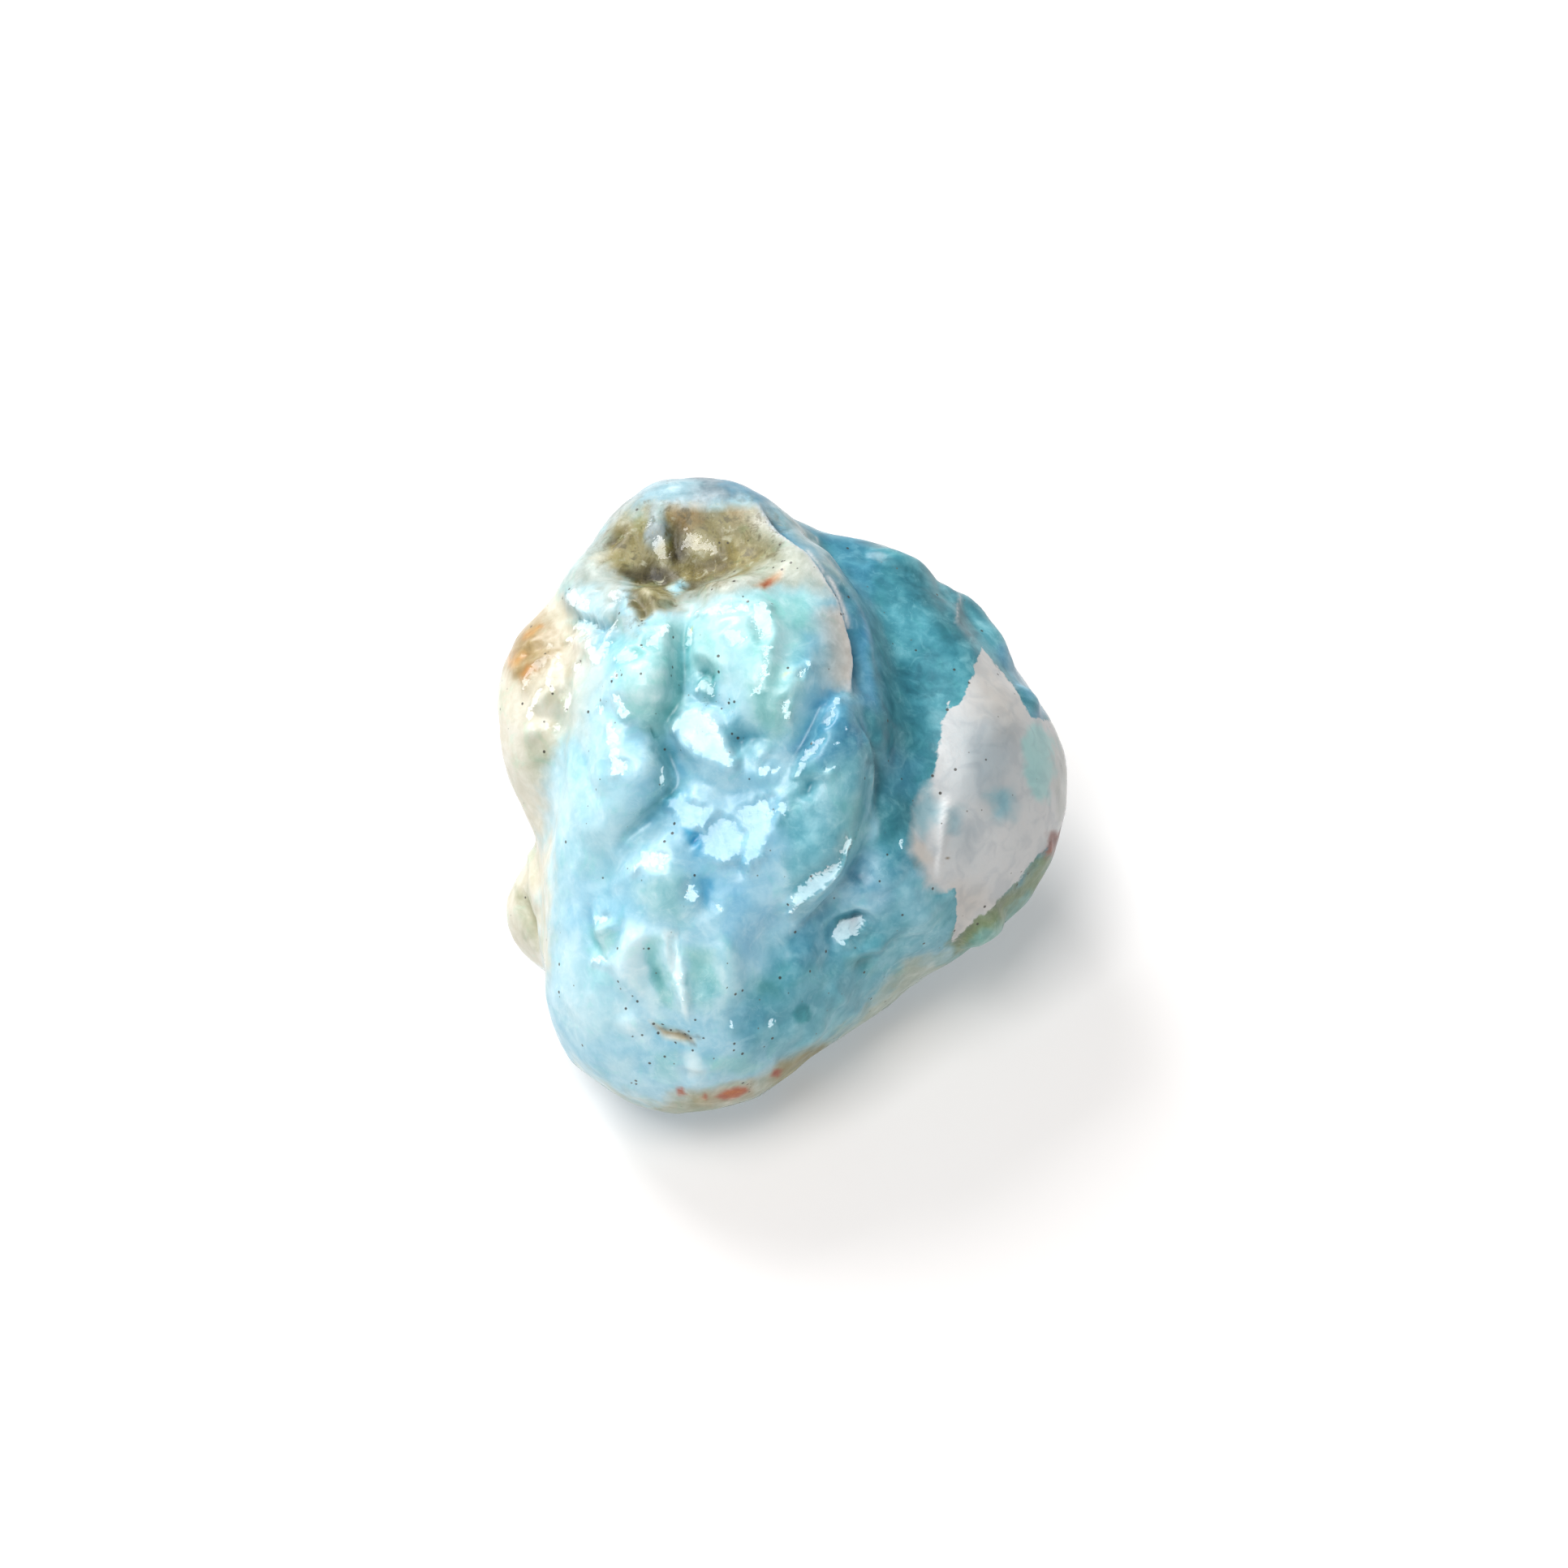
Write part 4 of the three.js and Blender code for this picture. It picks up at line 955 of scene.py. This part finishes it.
keep("shell", shell)
keep("seam", seam)
keep("seam_edge", seam_edge)
keep("seam_blur", seam_blur)
keep("sunk", sunk)
keep("specks", specks)
keep("wrinkled", wrinkled)
keep("weathered", weathered)
keep("cleaved", cleaved)
keep("polished", polished)
keep("rubbed", 0.7 * eased(-front_facing, -0.25, 0.1))

look = bpy.data.materials.new("larimar")
look.use_nodes = True
tree = look.node_tree
surface = tree.nodes["Principled BSDF"]
surface.inputs["IOR"].default_value = 1.55
surface.inputs["Subsurface Weight"].default_value = 0.30
surface.inputs["Subsurface Radius"].default_value = (0.7, 1.0, 1.1)
surface.inputs["Subsurface Scale"].default_value = 0.5 * MM


def step(kind, inputs, output=0, **settings):
    """One step of the finish; its inputs are numbers or the results of other steps."""
    node = tree.nodes.new("ShaderNode" + kind)
    for name, value in settings.items():
        setattr(node, name, value)
    for name, value in inputs.items():
        if isinstance(value, bpy.types.NodeSocket):
            tree.links.new(value, node.inputs[name])
        else:
            node.inputs[name].default_value = value
    return node.outputs[output]


def kept(name, output="Fac"):
    return step("Attribute", {}, output, attribute_name=name)


def maths(a, b, operation):
    return step("Math", {0: a, 1: b}, operation=operation)


def plus(a, b):
    return maths(a, b, "ADD")


def times(a, b):
    return maths(a, b, "MULTIPLY")


def cloud(per_mm, detail=2.0, distortion=0.0, roughness=0.5):
    """Soft noise with so many lumps to the millimetre, 0 to 1."""
    inputs = {"Vector": place, "Scale": per_mm / MM, "Detail": detail}
    return step("TexNoise", {**inputs, "Distortion": distortion, "Roughness": roughness})


def ramp(value, low, high, start=0.0, end=1.0):
    """Start below low, end above high, and a smooth climb between."""
    inputs = {"Value": value, "From Min": low, "From Max": high, "To Min": start, "To Max": end}
    return step("MapRange", inputs, interpolation_type="SMOOTHSTEP")


def mixed(amount, under, over, blend="MIX"):
    """One colour laid over another, by an amount from 0 to 1."""
    node = tree.nodes.new("ShaderNodeMix")
    node.data_type = "RGBA"
    node.blend_type = blend
    for socket, value in ((node.inputs[0], amount), (node.inputs[6], under), (node.inputs[7], over)):
        if isinstance(value, bpy.types.NodeSocket):
            tree.links.new(value, socket)
        elif isinstance(value, float):
            socket.default_value = value
        else:
            socket.default_value = (*value, 1)
    return node.outputs[2]


place = step("TexCoord", {}, "Object")

# Light goes deeper where the rock is clear: clouds, pools and fine marbling. The creases are darkened as
# painted shade, and the crests paled.
sunk_for_shade = kept("sunk")
depth = ramp(cloud(0.35, 2, 0.3), 0.3, 0.7, -0.15, 0.15)
depth = plus(depth, ramp(cloud(1.1, 4, 0.5, 0.55), 0.3, 0.7, -0.14, 0.14))
depth = plus(depth, ramp(cloud(5.0, 2, 0.3), 0.3, 0.7, -0.03, 0.03))
# Painted shade: the colour deepens where the surface sinks into a crease, and pales on crests.
depth = plus(depth, ramp(sunk_for_shade, 0.02, 0.45, 0.0, 0.85))
depth = plus(depth, ramp(sunk_for_shade, -0.04, -0.45, 0.0, -0.30))
colour = step("Gamma", {"Color": kept("shell", "Color"), "Gamma": plus(depth, 0.97)})

# The crown's softer rock is mottled, pale and dark.
DARK_MOTTLE = (0.10, 0.085, 0.035)
PALE_MOTTLE = (0.44, 0.43, 0.30)
mottle = cloud(1.5, 4, 0.4, 0.65)
weathered_rock = times(kept("weathered"), ramp(kept("polished"), 0, 1, 1.0, 0.3))
mottled = times(weathered_rock, 0.75)
colour = mixed(times(ramp(mottle, 0.49, 0.34), mottled), colour, DARK_MOTTLE)
colour = mixed(times(ramp(mottle, 0.55, 0.70), mottled), colour, PALE_MOTTLE)

# Wisps of milk and of sea green drift through it.
milkier = step("Gamma", {"Color": colour, "Gamma": 0.60})
colour = mixed(ramp(cloud(0.75, 4, 1.2, 0.62), 0.52, 0.70, 0.0, 0.45), colour, milkier)
SEA_GREEN_CAST = (0.66, 1.0, 0.90)
greener = mixed(1.0, colour, SEA_GREEN_CAST, "MULTIPLY")
colour = mixed(ramp(cloud(0.55, 4, 1.0, 0.62), 0.52, 0.68, 0.0, 0.32), colour, greener)

# Fine white threads.
off_level = step("Math", {0: maths(cloud(0.5, 3, 2.2), 0.5, "SUBTRACT")}, operation="ABSOLUTE")
thread = times(ramp(off_level, 0.002, 0.012, 0.22, 0.0), ramp(cloud(0.3, 1), 0.5, 0.6))
colour = mixed(thread, colour, step("Gamma", {"Color": colour, "Gamma": 0.5}))

# The white seam, its edge broken by fine noise and blurred on the left.
seam_colour = kept("seam", "Color")
SEAM_SHADE = (0.86, 0.88, 0.90)
seam_shade = mixed(1.0, seam_colour, SEAM_SHADE, "MULTIPLY")
seam_colour = mixed(ramp(cloud(0.9, 4, 0.8), 0.42, 0.66), seam_colour, seam_shade)
edge = plus(kept("seam_edge"), ramp(cloud(1.6, 4, 0.3, 0.6), 0, 1, -0.22, 0.22))
blur = kept("seam_blur")
colour = mixed(ramp(edge, maths(-0.05, blur, "SUBTRACT"), plus(0.06, blur)), colour, seam_colour)


def grit(per_mm, size, chance):
    """Round grains, so many places to the millimetre each way, a share of them filled."""
    cells = {"Vector": place, "Scale": per_mm / MM}
    away = step("TexVoronoi", cells, "Distance")
    pick = step("SeparateColor", {"Color": step("TexVoronoi", cells, "Color")}, 0)
    return times(ramp(away, size, size * 0.6), maths(pick, chance, "LESS_THAN"))


# Specks of dark ore, thick in some places and thin all over.
ORE = (0.035, 0.03, 0.022)
FINE_ORE = (0.10, 0.085, 0.06)
thick = plus(times(kept("specks"), 0.9), 0.03)
colour = mixed(times(grit(2.4, 0.26, thick), 0.9), colour, ORE)
colour = mixed(times(grit(1.3, 0.08, 0.30), 0.7), colour, FINE_ORE)
tree.links.new(colour, surface.inputs["Base Color"])

# A wet gloss, brightest where the rock has cleaved into ragged flats.
cleft = ramp(plus(kept("cleaved"), ramp(cloud(3.0, 3, 0.8, 0.7), 0.3, 0.7, -0.32, 0.32)), 0.60, 0.82)
gloss = maths(times(cleft, kept("polished")), kept("rubbed"), "MAXIMUM")
roughness = plus(ramp(gloss, 0, 1, 0.38, 0.10), ramp(cloud(0.8, 3), 0.3, 0.7, -0.03, 0.04))
roughness = plus(roughness, times(weathered_rock, 0.12))
tree.links.new(roughness, surface.inputs["Roughness"])

# Fine wrinkles, drawn out along the grain on the shoulder and deeper in the softer rock.
GRAIN = (0.42, 0.69, 0.58)
WRINKLE_HEIGHT = 0.035 * MM
wrinkle = plus(cloud(1.7, 3, 0.6), times(cloud(5.5, 2), 0.25))
along_grain = step("VectorMath", {0: place, 1: GRAIN}, "Value", operation="DOT_PRODUCT")
stretch = step("VectorMath", {0: GRAIN, "Scale": times(along_grain, 0.75)}, operation="SCALE")
stretched = step("VectorMath", {0: place, 1: stretch}, operation="SUBTRACT")
streaks = step("TexNoise", {"Vector": stretched, "Scale": 2.4 / MM, "Detail": 2.0, "Distortion": 0.4})
wrinkle = plus(wrinkle, times(streaks, times(kept("wrinkled"), 1.3)))
rough_rock = times(plus(kept("wrinkled"), weathered_rock), ramp(kept("polished"), 0, 1, 1.0, 0.1))
wrinkle_depth = times(plus(rough_rock, 1.0), 0.5)
wrinkle = times(wrinkle, times(wrinkle_depth, ramp(cleft, 0, 1, 1.0, 0.6)))

# On the flats the surface faces the way that the rock cleaves.
facing = step("TexCoord", {}, "Normal")
turn = step("VectorMath", {0: tuple(CLEAVAGE), 1: facing}, operation="SUBTRACT")
turn = step("VectorMath", {0: turn, "Scale": cleft}, operation="SCALE")
facing = step("VectorMath", {0: facing, 1: turn}, operation="ADD")
facing = step("VectorMath", {0: facing}, operation="NORMALIZE")
bump = {"Height": wrinkle, "Strength": 1.0, "Distance": WRINKLE_HEIGHT, "Normal": facing}
bump = step("Bump", bump, "Normal")
tree.links.new(bump, surface.inputs["Normal"])
stone_mesh.materials.append(look)

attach(stone, "root")
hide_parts("larimar_stone")


# ---- The table and the light ----
# A plain white table, lit by a small bright window high on the left, a wider soft one behind the
# stone that throws its shadow forward, and even light all round.

bpy.ops.mesh.primitive_plane_add(size=3)
table = bpy.context.object
table.name = "table"
table_finish = bpy.data.materials.new("table")
table_finish.use_nodes = True
table_look = table_finish.node_tree.nodes["Principled BSDF"].inputs
table_look["Base Color"].default_value = (0.64, 0.628, 0.624, 1)
table_look["Roughness"].default_value = 0.8
table_look["Emission Color"].default_value = (1, 0.94, 0.905, 1)
table_look["Emission Strength"].default_value = 0.27
table.data.materials.append(table_finish)


def softbox(name, from_stone, size, watts):
    """A square lamp set off from the stone, in metres, and turned to face it."""
    lamp = bpy.data.lights.new(name, "AREA")
    lamp.size = size
    lamp.energy = watts
    box = bpy.data.objects.new(name, lamp)
    box.location = look_at + Vector(from_stone)
    box.rotation_euler = (look_at - box.location).to_track_quat("-Z", "Y").to_euler()
    bpy.context.scene.collection.objects.link(box)


softbox("window", (-0.10, -0.12, 0.37), 0.21, 1.28)
softbox("sky", (-0.37, 0.54, 0.62), 0.42, 6.9)

world = bpy.data.worlds.new("studio")
world.use_nodes = True
all_round = world.node_tree.nodes["Background"].inputs
all_round["Color"].default_value = (1, 1, 1, 1)
all_round["Strength"].default_value = 0.29
bpy.context.scene.world = world
bpy.context.scene.view_settings.view_transform = "Standard"
